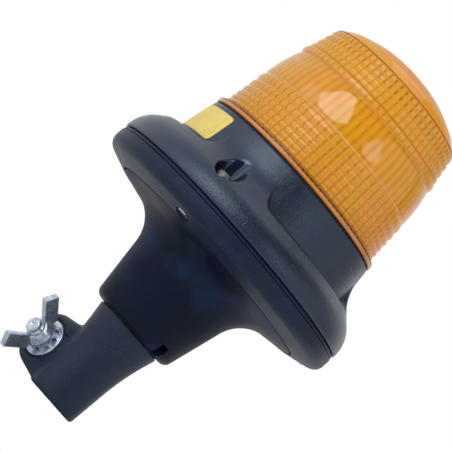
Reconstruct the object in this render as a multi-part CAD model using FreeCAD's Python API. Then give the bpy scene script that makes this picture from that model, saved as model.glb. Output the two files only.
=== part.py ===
"""Amber flashing warning light on a clamp socket for a round pole.

All sizes are in millimetres. The pole's axis is Z, with Z = 0 at the lower end of the
socket, the clamp lugs on the -X side and the wing nut on the -Y side of them.
"""
import FreeCAD
import Part
import math
import os

# Pole socket
POLE_BORE_D = 25.0
POLE_BORE_DEPTH = 50.0
SOCKET_WALL = 3.7
SOCKET_TAPER = 0.9
SOCKET_FLARE_START = 30.6
SOCKET_SHOULDER_R = 21.7
SOCKET_LENGTH = 56.9
SOCKET_END_ROUND = 2.0
SOCKET_FLARE_SAG = 0.65
STEM_R = 15.5
STEM_LENGTH = 21.0

# Clamp lugs and the slit between them
SLIT_W = 3.0
SLIT_TOP = 44.0
LUG_THICKNESS = 27.8
LUG_END_R = 15.2
LUG_ROOT_RISE = 20.6
LUG_EDGE_ROUND = 4.0
LUG_ROOT_ROUND = 3.0
SPOT_FACE_R = 13.0
SPOT_FACE_DEPTH = 1.5
FLAT_H = 19.4

# Clamp bolt, washers and wing nut
BOLT_D = 8.0
BOLT_X = -25.6
BOLT_Z = 20.7
BOLT_HOLE_CLEARANCE = 0.3
BOLT_HEAD_AF = 13.0
BOLT_HEAD_H = 5.3
BOLT_END_R = 4.6
BOLT_END_LENGTH = 2.4
BOLT_END_DOME = 2.0
NUT_TRAVEL = 2.0
WASHER_R = 11.6
WASHER_T = 1.6
LOCK_WASHER_R = 8.9
LOCK_WASHER_T = 2.0
LOCK_TEETH = 10
LOCK_TOOTH_GAP = 2.4
LOCK_TOOTH_DEPTH = 2.4
HUB_BASE_R = 8.2
HUB_TOP_R = 6.4
HUB_H = 6.5
WING_SPAN = 41.4
WING_TIP_H = 21.2
WING_W = 8.6
WING_T = 4.2
WING_ROUND = 1.3
WING_ROOT_REACH = 3.2

# Neck cone
NECK_SEAL_T = 0.8
NECK_COLLAR_R = 27.3
NECK_FLOOR_T = 8.7
NECK_COLLAR_ROUND = 4.6
NECK_WAIST_R = 33.9
NECK_WAIST_H = 34.7
NECK_FILLET_R = 22.5
NECK_EDGE_GAP = 0.5
NECK_HEIGHT = 55.3
NECK_FLANGE_SLOPE = 0.2
NECK_FLANGE_T = 4.0
NECK_WALL = 4.2
NOTCH_W = 6.0
NOTCH_H = 7.4
NOTCH_DEPTH = 7.0
SOCKET_NUT_AF = 40.0
SOCKET_NUT_H = 8.0
NECK_SCREW_INSET = 13.2
NECK_SCREW_D = 4.0
NECK_SCREW_GRIP = 4.0
NECK_SCREW_HEAD_H = 2.8

# Base ring and its gasket
RIM_R = 84.1
BASE_PLATE_T = 4.0
BASE_HEIGHT = 9.7
BASE_SLOPE = 0.29
BASE_CORNER_R = 9.0
BASE_BAND_W = 19.0
BASE_CENTRE_HOLE_R = 20.0
GASKET_T = 2.5
GASKET_INSET = 0.5
GASKET_W = 22.0

# Upper housing with its three screw pillars
HOUSING_HEIGHT = 44.8
HOUSING_LIP_W = 4.2
DRUM_TAPER = 0.153
RIM_CORNER_H = 9.8
RIM_CORNER_R = 19.3
FLARE_FOOT_H = 28.0
FLARE_ROUND = 26.0
WINDOW_FLOOR_H = 20.0
WINDOW_CORNER_R = 10.0
PILLAR_W = 41.5
PILLAR_COUNT = 3
PILLAR_AZIMUTH = 24.0
GROOVE_H = 9.0
GROOVE_WALL = 5.0
GROOVE_INNER_WALL = 4.2
SCREW_BOSS_R = 10.5

# Housing screws
SCREW_TO_RIM = 11.6
SCREW_TO_BORE = 15.2
SCREW_D = 5.0
SCREW_HOLE_CLEARANCE = 0.3
SCREW_HEAD_R = 4.6
SCREW_HEAD_H = 5.2
SCREW_SOCKET_SHARE = 0.75
SCREW_SEAT_H = 10.4
SCREW_WELL_R = 7.6
SCREW_WASHER_R = 5.6
SCREW_WASHER_T = 1.2
NUT_AF = 8.0
NUT_H = 4.0
NUT_POCKET_R = 4.8
NUT_POCKET_CEILING = 7.2

# Lens
LENS_SEAL_T = 1.0
LENS_SEAL_W = 2.9
LENS_HEIGHT = 89.6
LENS_WALL = 2.4
LENS_SKIRT_CLEARANCE = 0.3
LENS_SKIRT_LENGTH = 10.0
LENS_FLANGE_T = 2.5
LENS_FLANGE_ROUND = 1.1
RING_DEPTH = 1.2
RING_ROUND = 0.9
LOWER_RINGS = 6
LOWER_RING_START = 3.8
LOWER_RING_END = 30.1
LOWER_RING_INSET = 2.7
BELLY_FOOT_INSET = 3.0
BELLY_TOP_H = 52.6
BELLY_TAPER = 4.3
BELLY_SAG = 0.9
MIDDLE_RING_END = 57.6
MIDDLE_RING_RISE = 0.6
UPPER_RINGS = 4
UPPER_RING_END = 75.4
UPPER_RING_INSET = 1.0
UPPER_RING_TAPER = 4.1
CROWN_CORNER_INSET = 6.9
CROWN_CORNER_DROP = 7.5
CROWN_CORNER_ROUND = 20.0
CROWN_INSET = 17.5
CROWN_DROP = 1.3
CROWN_ROUND = 60.0

# Electrical contacts in the socket
CARRIER_R = 7.9
CARRIER_FLANGE_R = 9.6
CARRIER_FLANGE_T = 2.0
CARRIER_FLOOR_T = 6.0
SPRING_CHAMBER_R = 5.5
PIN_R = 3.0
PIN_COLLAR_R = 5.2
PIN_COLLAR_T = 2.0
PIN_TAIL_R = 2.0
PIN_TAIL_LENGTH = 12.0
PIN_TIP_RECESS = 0.2
PIN_TIP_ROUND = 0.6
PIN_CLEARANCE = 0.3
SPRING_R = 3.7
SPRING_WIRE_R = 0.6
SPRING_TURNS = 6
EARTH_RING_T = 0.8
EARTH_RING_R = 12.2
EARTH_TAB_W = 4.0
EARTH_TAB_Y = 11.0
EARTH_TAB_RISE = 6.0
TERMINAL_R = 8.4
TERMINAL_T = 1.2

# Electronics
BOARD_EDGE_GAP = 7.3
BOARD_T = 1.6
SPACER_H = 14.0
SPACER_R = 4.0
SPACER_INSET = 6.0
BOARD_SCREW_D = 3.0
BOARD_SCREW_HEAD_R = 2.8
BOARD_SCREW_HEAD_H = 2.0
BOARD_SCREW_GRIP = 6.0
POST_FACES = 6
POST_AF = 20.0
POST_HEIGHT = 86.0
POST_FOOT_R = 15.0
POST_FOOT_T = 3.0
LED_STRIP_W = 9.0
LED_STRIP_T = 1.2
LED_STRIP_H = 46.0
LED_STRIP_DROP = 4.0
LED_SIZE = 5.0
LED_T = 1.8
LEDS_PER_STRIP = 4
CAPACITOR_R = 6.3
CAPACITOR_H = 15.0
CAPACITOR_INSET = 18.0
CAPACITOR_AZIMUTH = 160.0
CAPACITOR_STEP = 40.0
CAPACITOR_ROUND = 1.0
CHOKE_R = 7.0
CHOKE_WIRE_R = 3.0
CHOKE_INSET = 15.0
CHOKE_AZIMUTH = 320.0
BLOCK_L = 16.0
BLOCK_W = 9.0
BLOCK_H = 9.0
BLOCK_INSET = 17.0
LEAD_R = 1.1
LEAD_BEND_R = 5.0
LEAD_RISE = 12.0
LEAD_BOARD_X = 10.0
LEAD_BOARD_Y = 13.0

# Radii that follow from the rim and from each other
BORE_R = POLE_BORE_D / 2
SCREW_CIRCLE_R = RIM_R - SCREW_TO_RIM
NECK_FLANGE_R = SCREW_CIRCLE_R - NUT_POCKET_R - NECK_EDGE_GAP
NECK_SCREW_R = NECK_FLANGE_R - NECK_SCREW_INSET
HOUSING_BORE_R = SCREW_CIRCLE_R - SCREW_TO_BORE
HOUSING_TOP_R = HOUSING_BORE_R + HOUSING_LIP_W
LENS_SKIRT_R = HOUSING_BORE_R - LENS_SKIRT_CLEARANCE
LENS_FLANGE_R = HOUSING_TOP_R
LOWER_RING_R = LENS_FLANGE_R - LOWER_RING_INSET
BELLY_FOOT_R = LOWER_RING_R - BELLY_FOOT_INSET
BELLY_TOP_R = BELLY_FOOT_R - BELLY_TAPER
MIDDLE_RING_R = BELLY_TOP_R + MIDDLE_RING_RISE
UPPER_RING_R = MIDDLE_RING_R - UPPER_RING_INSET
CROWN_EDGE_R = UPPER_RING_R - UPPER_RING_TAPER
CROWN_CORNER_R = CROWN_EDGE_R - CROWN_CORNER_INSET
CROWN_R = CROWN_CORNER_R - CROWN_INSET
BOARD_R = HOUSING_BORE_R - BOARD_EDGE_GAP
SPACER_CIRCLE_R = BOARD_R - SPACER_INSET
CAPACITOR_CIRCLE_R = BOARD_R - CAPACITOR_INSET
CHOKE_CIRCLE_R = BOARD_R - CHOKE_INSET
BLOCK_X = BOARD_R - BLOCK_INSET

# Heights of the levels where pieces meet
COLLAR_Z = SOCKET_LENGTH + NECK_SEAL_T
NECK_FLOOR_Z = COLLAR_Z + NECK_FLOOR_T
STEM_TOP_Z = SOCKET_LENGTH + STEM_LENGTH
NECK_EDGE_Z = COLLAR_Z + NECK_HEIGHT
NECK_TOP_Z = NECK_EDGE_Z + NECK_FLANGE_T
PLATE_TOP_Z = NECK_TOP_Z + BASE_PLATE_T
BASE_TOP_Z = NECK_TOP_Z + BASE_HEIGHT
HOUSING_Z = BASE_TOP_Z + GASKET_T
HOUSING_TOP_Z = HOUSING_Z + HOUSING_HEIGHT
LENS_Z = HOUSING_TOP_Z + LENS_SEAL_T
BOARD_Z = PLATE_TOP_Z + SPACER_H
BOARD_TOP_Z = BOARD_Z + BOARD_T
SPOT_FACE_Y = LUG_THICKNESS / 2 - SPOT_FACE_DEPTH
HUB_BASE_Y = SPOT_FACE_Y + WASHER_T + LOCK_WASHER_T
SMALL_GAP = 0.2
OVERSHOOT = 1.0
SEAM_TOLERANCE = 1e-3
TINY = 1e-6
ROUND_SHARE = 0.49


def vec(x, y, z):
    return FreeCAD.Vector(x, y, z)


def around(azimuth, radius):
    """A point at an azimuth in degrees, counted from -Y towards +X."""
    angle = math.radians(azimuth)
    return vec(radius * math.sin(angle), -radius * math.cos(angle), 0)


def azimuths(count, first):
    return [first + index * 360.0 / count for index in range(count)]


def bend(before, corner, after, radius, free_before, free_after):
    """The points of a rounded corner: start, middle and end of its tangent arc."""
    if radius == 0:
        return [corner]
    back = before - corner
    ahead = after - corner
    room = min(back.Length * free_before, ahead.Length * free_after)
    half = back.getAngle(ahead) / 2
    reach = min(radius / math.tan(half), room)
    back.normalize()
    ahead.normalize()
    inward = back + ahead
    inward.normalize()
    middle = corner + inward * (reach / math.cos(half) - reach * math.tan(half))
    return [corner + back * reach, middle, corner + ahead * reach]


def rounded_wire(corners, place):
    """Lines through corners (a, b) or (a, b, radius), with arcs at those that have a radius."""
    points = [vec(corner[0], corner[1], 0) for corner in corners]
    radii = [corner[2] if len(corner) > 2 else 0 for corner in corners]
    count = len(points)
    share = [ROUND_SHARE if radius else 2 * ROUND_SHARE for radius in radii]
    bends = []
    for index in range(count):
        ahead = (index + 1) % count
        bends.append(bend(points[index - 1], points[index], points[ahead],
                          radii[index], share[index - 1], share[ahead]))
    edges = []
    for index in range(count):
        here = [place(point.x, point.y) for point in bends[index]]
        if len(here) == 3:
            edges.append(Part.Arc(*here).toShape())
        target = bends[(index + 1) % count][0]
        target = place(target.x, target.y)
        if here[-1].distanceToPoint(target) > TINY:
            edges.append(Part.LineSegment(here[-1], target).toShape())
    return Part.Wire(edges)


def revolved(corners):
    """A solid of revolution about Z from an outline of (radius, height) corners."""
    wire = rounded_wire(corners, lambda r, z: vec(r, 0, z))
    return Part.Face(wire).revolve(vec(0, 0, 0), vec(0, 0, 1), 360)


def ring(inner, outer, z0, z1):
    return revolved([(inner, z0), (outer, z0), (outer, z1), (inner, z1)])


def cylinder(radius, z0, z1, centre=vec(0, 0, 0)):
    return Part.makeCylinder(radius, z1 - z0, vec(centre.x, centre.y, z0))


def box(x0, x1, y0, y1, z0, z1):
    return Part.makeBox(x1 - x0, y1 - y0, z1 - z0, vec(x0, y0, z0))


def hexagon(across_flats, z0, z1, centre=vec(0, 0, 0), turn=0.0):
    corner_r = across_flats / math.sqrt(3)
    points = [centre + around(turn + 60 * index, corner_r) for index in range(6)]
    points = [vec(point.x, point.y, z0) for point in points]
    face = Part.Face(Part.makePolygon(points + points[:1]))
    return face.extrude(vec(0, 0, z1 - z0))


def turned(shape, azimuth):
    """A copy of a shape that faces -Y, turned to face an azimuth."""
    copy = shape.copy()
    copy.rotate(vec(0, 0, 0), vec(0, 0, 1), azimuth)
    return copy


def group(shapes):
    return Part.makeCompound(shapes)


def on_bolt(shape):
    """Moves a shape drawn along +Z from the lugs' middle plane on to the clamp bolt's axis."""
    placed = shape.copy()
    placed.rotate(vec(0, 0, 0), vec(1, 0, 0), 90)
    placed.translate(vec(BOLT_X, 0, BOLT_Z))
    return placed


def screw_points():
    return [around(azimuth, SCREW_CIRCLE_R) for azimuth in azimuths(PILLAR_COUNT, PILLAR_AZIMUTH)]


def neck_screw_points():
    return [around(azimuth, NECK_SCREW_R) for azimuth in azimuths(PILLAR_COUNT, PILLAR_AZIMUTH + 180 / PILLAR_COUNT)]


def spacer_points():
    return [around(azimuth, SPACER_CIRCLE_R) for azimuth in azimuths(PILLAR_COUNT, PILLAR_AZIMUTH)]


# Pole socket
def socket_tube():
    """The tapered tube with its concave flare up to the shoulder, and the stem above it."""
    end_r = BORE_R + SOCKET_WALL
    flare_r = end_r + SOCKET_TAPER
    middle_r = (flare_r + SOCKET_SHOULDER_R) / 2 - SOCKET_FLARE_SAG
    middle_z = (SOCKET_FLARE_START + SOCKET_LENGTH) / 2
    flare_bend_r = (SOCKET_LENGTH - SOCKET_FLARE_START) ** 2 / (8 * SOCKET_FLARE_SAG)
    return revolved([
        (0, 0), (end_r, 0, SOCKET_END_ROUND), (flare_r, SOCKET_FLARE_START, flare_bend_r),
        (middle_r, middle_z, flare_bend_r), (SOCKET_SHOULDER_R, SOCKET_LENGTH),
        (STEM_R, SOCKET_LENGTH), (STEM_R, STEM_TOP_Z), (0, STEM_TOP_Z)])


def lug_block():
    """Both clamp lugs as one rounded block, before the slit parts them."""
    end_x = BOLT_X - LUG_END_R
    root_x = -BORE_R / 2
    corners = [
        (root_x, BOLT_Z + LUG_ROOT_RISE), (end_x, BOLT_Z + LUG_END_R, LUG_END_R),
        (end_x, BOLT_Z - LUG_END_R, LUG_END_R), (root_x, BOLT_Z - LUG_ROOT_RISE)]
    wire = rounded_wire(corners, lambda x, z: vec(x, -LUG_THICKNESS / 2, z))
    block = Part.Face(wire).extrude(vec(0, LUG_THICKNESS, 0))
    rim = [edge for edge in block.Edges
           if edge.BoundBox.YLength < TINY and edge.BoundBox.XMin < root_x - TINY]
    return block.makeFillet(LUG_EDGE_ROUND, rim)


def spot_face():
    """The round seat for a washer and the flat that runs from it to the tube."""
    top = LUG_THICKNESS / 2 + OVERSHOOT
    seat = cylinder(SPOT_FACE_R, SPOT_FACE_Y, top)
    flat = box(0, -BOLT_X - BORE_R, -FLAT_H / 2, FLAT_H / 2, SPOT_FACE_Y, top)
    return seat.fuse(flat)


def rounded_union(first, second, radius):
    """Two solids fused, with the line where their surfaces meet filled to a radius."""
    body = first.fuse(second)
    seam = first.section(second)
    edges = []
    for edge in body.Edges:
        middle = edge.valueAt((edge.FirstParameter + edge.LastParameter) / 2)
        if seam.distToShape(Part.Vertex(middle))[0] < SEAM_TOLERANCE:
            edges.append(edge)
    return body.makeFillet(radius, edges)


def pole_socket():
    seat = spot_face()
    far_seat = seat.mirror(vec(0, 0, 0), vec(0, 0, 1))
    hole_r = BOLT_D / 2 + BOLT_HOLE_CLEARANCE
    reach = LUG_THICKNESS
    slit = box(BOLT_X - LUG_END_R - OVERSHOOT, 0, -SLIT_W / 2, SLIT_W / 2, -OVERSHOOT, SLIT_TOP)
    tab_slot = box(-EARTH_TAB_W / 2 - SMALL_GAP, EARTH_TAB_W / 2 + SMALL_GAP,
                   EARTH_TAB_Y - EARTH_RING_T / 2 - SMALL_GAP,
                   EARTH_TAB_Y + EARTH_RING_T / 2 + SMALL_GAP,
                   POLE_BORE_DEPTH - OVERSHOOT, STEM_TOP_Z + OVERSHOOT)
    return rounded_union(socket_tube(), lug_block(), LUG_ROOT_ROUND).cut([
        on_bolt(seat), on_bolt(far_seat), on_bolt(cylinder(hole_r, -reach, reach)),
        cylinder(BORE_R, -OVERSHOOT, POLE_BORE_DEPTH), slit, tab_slot,
        cylinder(EARTH_RING_R + SMALL_GAP / 2, POLE_BORE_DEPTH - OVERSHOOT,
                 POLE_BORE_DEPTH + EARTH_RING_T),
        cylinder(CARRIER_R + SMALL_GAP / 2, POLE_BORE_DEPTH - OVERSHOOT, STEM_TOP_Z + OVERSHOOT)])


# Clamp bolt, washers and wing nut
def clamp_bolt():
    head_top = -SPOT_FACE_Y - WASHER_T
    thread_end = HUB_BASE_Y + HUB_H + NUT_TRAVEL
    tip = thread_end + BOLT_END_LENGTH
    shank = revolved([
        (0, head_top), (BOLT_D / 2, head_top), (BOLT_D / 2, thread_end),
        (BOLT_END_R, thread_end, SMALL_GAP), (BOLT_END_R, tip, BOLT_END_DOME), (0, tip)])
    head = hexagon(BOLT_HEAD_AF, head_top - BOLT_HEAD_H, head_top)
    return on_bolt(shank.fuse(head).removeSplitter())


def bolt_head_washer():
    hole_r = BOLT_D / 2 + BOLT_HOLE_CLEARANCE
    return on_bolt(ring(hole_r, WASHER_R, -SPOT_FACE_Y - WASHER_T, -SPOT_FACE_Y))


def flat_washer():
    hole_r = BOLT_D / 2 + BOLT_HOLE_CLEARANCE
    return on_bolt(ring(hole_r, WASHER_R, SPOT_FACE_Y, SPOT_FACE_Y + WASHER_T))


def lock_washer():
    """A toothed washer: gaps between the teeth are cut in from its rim."""
    foot = SPOT_FACE_Y + WASHER_T
    body = ring(BOLT_D / 2 + BOLT_HOLE_CLEARANCE, LOCK_WASHER_R, foot, HUB_BASE_Y)
    gap = box(-LOCK_TOOTH_GAP / 2, LOCK_TOOTH_GAP / 2, -LOCK_WASHER_R - OVERSHOOT,
              LOCK_TOOTH_DEPTH - LOCK_WASHER_R, foot - OVERSHOOT, HUB_BASE_Y + OVERSHOOT)
    return on_bolt(body.cut([turned(gap, azimuth) for azimuth in azimuths(LOCK_TEETH, 0)]))


def wing_nut():
    """A tapered hub with two leaning wings, bored to run on the bolt."""
    half_span = WING_SPAN / 2
    lean_top = WING_TIP_H - WING_W / math.sqrt(2)
    inner_tip = half_span - WING_W / math.sqrt(2)
    corners = [
        (HUB_TOP_R - 2 * WING_ROUND, HUB_H / 4),
        (HUB_BASE_R + WING_ROOT_REACH, HUB_H / 3, 2 * WING_ROUND),
        (half_span, lean_top, WING_ROUND), (inner_tip, WING_TIP_H, WING_ROUND),
        (HUB_TOP_R, HUB_H + 2 * WING_ROUND, WING_ROUND), (HUB_TOP_R - 2 * WING_ROUND, HUB_H - WING_ROUND)]
    wire = rounded_wire(corners, lambda y, z: vec(-WING_T / 2, y, z))
    wing = Part.Face(wire).extrude(vec(WING_T, 0, 0))
    hub = revolved([(0, 0), (HUB_BASE_R, 0, SMALL_GAP), (HUB_BASE_R, HUB_H / 4, WING_ROUND),
                    (HUB_TOP_R, HUB_H, WING_ROUND), (0, HUB_H)])
    body = hub.fuse([wing, turned(wing, 180)])
    thread_r = BOLT_D / 2 + BOLT_HOLE_CLEARANCE
    body = body.cut(cylinder(thread_r, -OVERSHOOT, WING_TIP_H))
    body.translate(vec(0, 0, HUB_BASE_Y))
    return on_bolt(body)


# Neck cone and what holds it
def neck_underside_z(r):
    """Height of the flange's sloping underside at a radius."""
    return NECK_EDGE_Z - (NECK_FLANGE_R - r) * NECK_FLANGE_SLOPE


def neck_lean():
    return (NECK_WAIST_R - NECK_COLLAR_R) / NECK_WAIST_H


def neck_wall_r(z):
    """Outer radius of the cone's straight wall at a height."""
    return NECK_COLLAR_R + (z - COLLAR_Z) * neck_lean()


def neck_meeting_r(inset):
    """Radius where the line of the cone's wall, less an inset, meets the flange's underside."""
    level_r = neck_wall_r(neck_underside_z(0)) - inset
    return level_r / (1 - neck_lean() * NECK_FLANGE_SLOPE)


def neck_cone():
    stem_hole_r = STEM_R + SMALL_GAP
    meet_r = neck_meeting_r(0)
    inner_meet_r = neck_meeting_r(NECK_WALL)
    inner_r = neck_wall_r(NECK_FLOOR_Z) - NECK_WALL
    outer = revolved([
        (stem_hole_r, COLLAR_Z), (NECK_COLLAR_R, COLLAR_Z, NECK_COLLAR_ROUND),
        (meet_r, neck_underside_z(meet_r), NECK_FILLET_R),
        (NECK_FLANGE_R, NECK_EDGE_Z, SMALL_GAP), (NECK_FLANGE_R, NECK_TOP_Z),
        (inner_meet_r + NECK_FILLET_R / 2, NECK_TOP_Z, NECK_WALL),
        (inner_meet_r, neck_underside_z(inner_meet_r), NECK_FILLET_R / 2),
        (inner_r, NECK_FLOOR_Z), (stem_hole_r, NECK_FLOOR_Z)])
    notch = box(NECK_COLLAR_R - NOTCH_DEPTH, NECK_WAIST_R, -NOTCH_W / 2, NOTCH_W / 2,
                COLLAR_Z - OVERSHOOT, COLLAR_Z + NOTCH_H)
    pilot_z = NECK_TOP_Z - NECK_SCREW_GRIP
    pilots = [cylinder(NECK_SCREW_D / 2, pilot_z, NECK_TOP_Z + OVERSHOOT, point)
              for point in neck_screw_points()]
    return outer.cut([notch] + pilots)


def neck_seal():
    return ring(STEM_R + SMALL_GAP, SOCKET_SHOULDER_R - OVERSHOOT, SOCKET_LENGTH, COLLAR_Z)


def socket_nut():
    nut = hexagon(SOCKET_NUT_AF, NECK_FLOOR_Z, NECK_FLOOR_Z + SOCKET_NUT_H)
    return nut.cut(cylinder(STEM_R + SMALL_GAP / 2, NECK_FLOOR_Z - OVERSHOOT, HOUSING_Z))


def pan_screw(point, thread_d, head_r, head_h, seat_z, tip_z):
    """A screw with a rounded head that points down from its seat."""
    body = revolved([
        (0, tip_z), (thread_d / 2, tip_z, SMALL_GAP), (thread_d / 2, seat_z), (head_r, seat_z),
        (head_r, seat_z + head_h, head_h / 2), (0, seat_z + head_h)])
    socket_af = thread_d * SCREW_SOCKET_SHARE
    body = body.cut(hexagon(socket_af, seat_z + head_h / 2, seat_z + head_h + OVERSHOOT))
    body.translate(point)
    return body


def neck_screws():
    tip_z = NECK_TOP_Z - NECK_SCREW_GRIP + SMALL_GAP
    return group([pan_screw(point, NECK_SCREW_D - SMALL_GAP, NECK_SCREW_D, NECK_SCREW_HEAD_H,
                            PLATE_TOP_Z, tip_z) for point in neck_screw_points()])


# Base ring and gasket
def base_ring():
    """The rounded lower band of the housing, with the plate that carries the electronics."""
    seat_r = NECK_FLANGE_R + SMALL_GAP
    edge_z = NECK_EDGE_Z
    corner_z = edge_z + (RIM_R - seat_r) * BASE_SLOPE
    body = revolved([
        (seat_r, NECK_TOP_Z), (seat_r, edge_z), (RIM_R, corner_z, BASE_CORNER_R),
        (RIM_R, BASE_TOP_Z), (RIM_R - BASE_BAND_W - GASKET_W / 4, BASE_TOP_Z),
        (RIM_R - BASE_BAND_W - GASKET_W / 4, PLATE_TOP_Z), (BASE_CENTRE_HOLE_R, PLATE_TOP_Z),
        (BASE_CENTRE_HOLE_R, NECK_TOP_Z)])
    ceiling = edge_z + NUT_POCKET_CEILING
    cuts = []
    for point in screw_points():
        cuts.append(cylinder(NUT_POCKET_R, edge_z - OVERSHOOT, ceiling, point))
        cuts.append(cylinder(SCREW_D / 2 + SCREW_HOLE_CLEARANCE, edge_z, HOUSING_Z, point))
    for point in neck_screw_points():
        cuts.append(cylinder(NECK_SCREW_D / 2 + SMALL_GAP, NECK_EDGE_Z, HOUSING_Z, point))
    for point in spacer_points():
        cuts.append(cylinder(BOARD_SCREW_D / 2 + SMALL_GAP, NECK_EDGE_Z, HOUSING_Z, point))
    return body.cut(cuts)


def base_gasket():
    outer = RIM_R - GASKET_INSET
    body = ring(outer - GASKET_W, outer, BASE_TOP_Z, HOUSING_Z)
    hole_r = SCREW_D / 2 + SCREW_HOLE_CLEARANCE
    return body.cut([cylinder(hole_r, BASE_TOP_Z - OVERSHOOT, HOUSING_Z + OVERSHOOT, point)
                     for point in screw_points()])


# Upper housing
def drum_r(z):
    """Outer radius of the slightly tapered drum at a height."""
    return HOUSING_TOP_R + (HOUSING_TOP_Z - z) * DRUM_TAPER


def pillar_prism():
    """A wide-footed slab that faces -Y: it keeps the flare only where a pillar stands."""
    floor_z = HOUSING_Z + WINDOW_FLOOR_H
    top_z = HOUSING_TOP_Z + OVERSHOOT
    half = PILLAR_W / 2
    foot = half + 2 * WINDOW_CORNER_R
    corners = [
        (-foot, floor_z - OVERSHOOT), (foot, floor_z - OVERSHOOT), (foot, floor_z),
        (half, floor_z, WINDOW_CORNER_R), (half, top_z), (-half, top_z),
        (-half, floor_z, WINDOW_CORNER_R), (-foot, floor_z)]
    wire = rounded_wire(corners, lambda x, z: vec(x, 0, z))
    return Part.Face(wire).extrude(vec(0, -RIM_R - OVERSHOOT, 0))


def rim_line_r(z):
    """Radius of the straight slope between the rim's round and the foot of the drum."""
    corner_z = HOUSING_Z + RIM_CORNER_H
    foot_z = HOUSING_Z + FLARE_FOOT_H
    share = (z - corner_z) / (foot_z - corner_z)
    return RIM_R + (drum_r(foot_z) - RIM_R) * share


def flared_body():
    foot_z = HOUSING_Z + FLARE_FOOT_H
    return revolved([
        (HOUSING_BORE_R, HOUSING_Z), (RIM_R, HOUSING_Z),
        (RIM_R, HOUSING_Z + RIM_CORNER_H, RIM_CORNER_R), (drum_r(foot_z), foot_z, FLARE_ROUND),
        (HOUSING_TOP_R, HOUSING_TOP_Z), (HOUSING_BORE_R, HOUSING_TOP_Z)])


def drum_and_rim():
    floor_z = HOUSING_Z + WINDOW_FLOOR_H
    return revolved([
        (HOUSING_BORE_R, HOUSING_Z), (RIM_R, HOUSING_Z),
        (RIM_R, HOUSING_Z + RIM_CORNER_H, RIM_CORNER_R), (rim_line_r(floor_z), floor_z),
        (drum_r(floor_z), floor_z), (HOUSING_TOP_R, HOUSING_TOP_Z),
        (HOUSING_BORE_R, HOUSING_TOP_Z)])


def upper_housing():
    flare = flared_body()
    prism = pillar_prism()
    pillars = [flare.common(turned(prism, azimuth))
               for azimuth in azimuths(PILLAR_COUNT, PILLAR_AZIMUTH)]
    body = drum_and_rim().fuse(pillars).removeSplitter()
    seat_z = HOUSING_Z + SCREW_SEAT_H
    groove = ring(HOUSING_BORE_R + GROOVE_INNER_WALL, RIM_R - GROOVE_WALL,
                  HOUSING_Z - OVERSHOOT, HOUSING_Z + GROOVE_H)
    groove = groove.cut([cylinder(SCREW_BOSS_R, HOUSING_Z - OVERSHOOT, seat_z, point)
                         for point in screw_points()])
    cuts = [groove]
    for point in screw_points():
        cuts.append(cylinder(SCREW_WELL_R, seat_z, HOUSING_TOP_Z, point))
        cuts.append(cylinder(SCREW_D / 2 + SCREW_HOLE_CLEARANCE, HOUSING_Z - OVERSHOOT, seat_z, point))
    return body.cut(cuts)


def housing_screws():
    seat_z = HOUSING_Z + SCREW_SEAT_H + SCREW_WASHER_T
    tip_z = NECK_EDGE_Z + NUT_POCKET_CEILING - SCREW_WASHER_T - NUT_H
    return group([pan_screw(point, SCREW_D, SCREW_HEAD_R, SCREW_HEAD_H, seat_z, tip_z)
                  for point in screw_points()])


def housing_washers():
    """A washer under each screw head and one over each nut."""
    hole_r = SCREW_D / 2 + SMALL_GAP / 2
    seat_z = HOUSING_Z + SCREW_SEAT_H
    ceiling = NECK_EDGE_Z + NUT_POCKET_CEILING
    washers = []
    for point in screw_points():
        upper = ring(hole_r, SCREW_WASHER_R, seat_z, seat_z + SCREW_WASHER_T)
        lower = ring(hole_r, NUT_POCKET_R - SMALL_GAP, ceiling - SCREW_WASHER_T, ceiling)
        for washer in (upper, lower):
            washer.translate(point)
            washers.append(washer)
    return group(washers)


def housing_nuts():
    top = NECK_EDGE_Z + NUT_POCKET_CEILING - SCREW_WASHER_T
    nuts = []
    for point in screw_points():
        nut = hexagon(NUT_AF, top - NUT_H, top, point)
        hole = cylinder(SCREW_D / 2 + SMALL_GAP / 2, top - NUT_H - OVERSHOOT, top + OVERSHOOT, point)
        nuts.append(nut.cut(hole))
    return group(nuts)


# Lens
def ring_corners(count, z0, z1, r0, r1):
    """Corners of a stack of rounded prism rings between two heights, from r0 to r1 at the crests."""
    pitch = (z1 - z0) / count
    corners = []
    for index in range(count):
        crest_r = r0 + (r1 - r0) * (index + 0.5) / count
        crest_z = z0 + (index + 0.5) * pitch
        corners.append((crest_r - RING_DEPTH, crest_z - pitch / 2))
        corners.append((crest_r, crest_z, RING_ROUND))
    return corners


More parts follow.
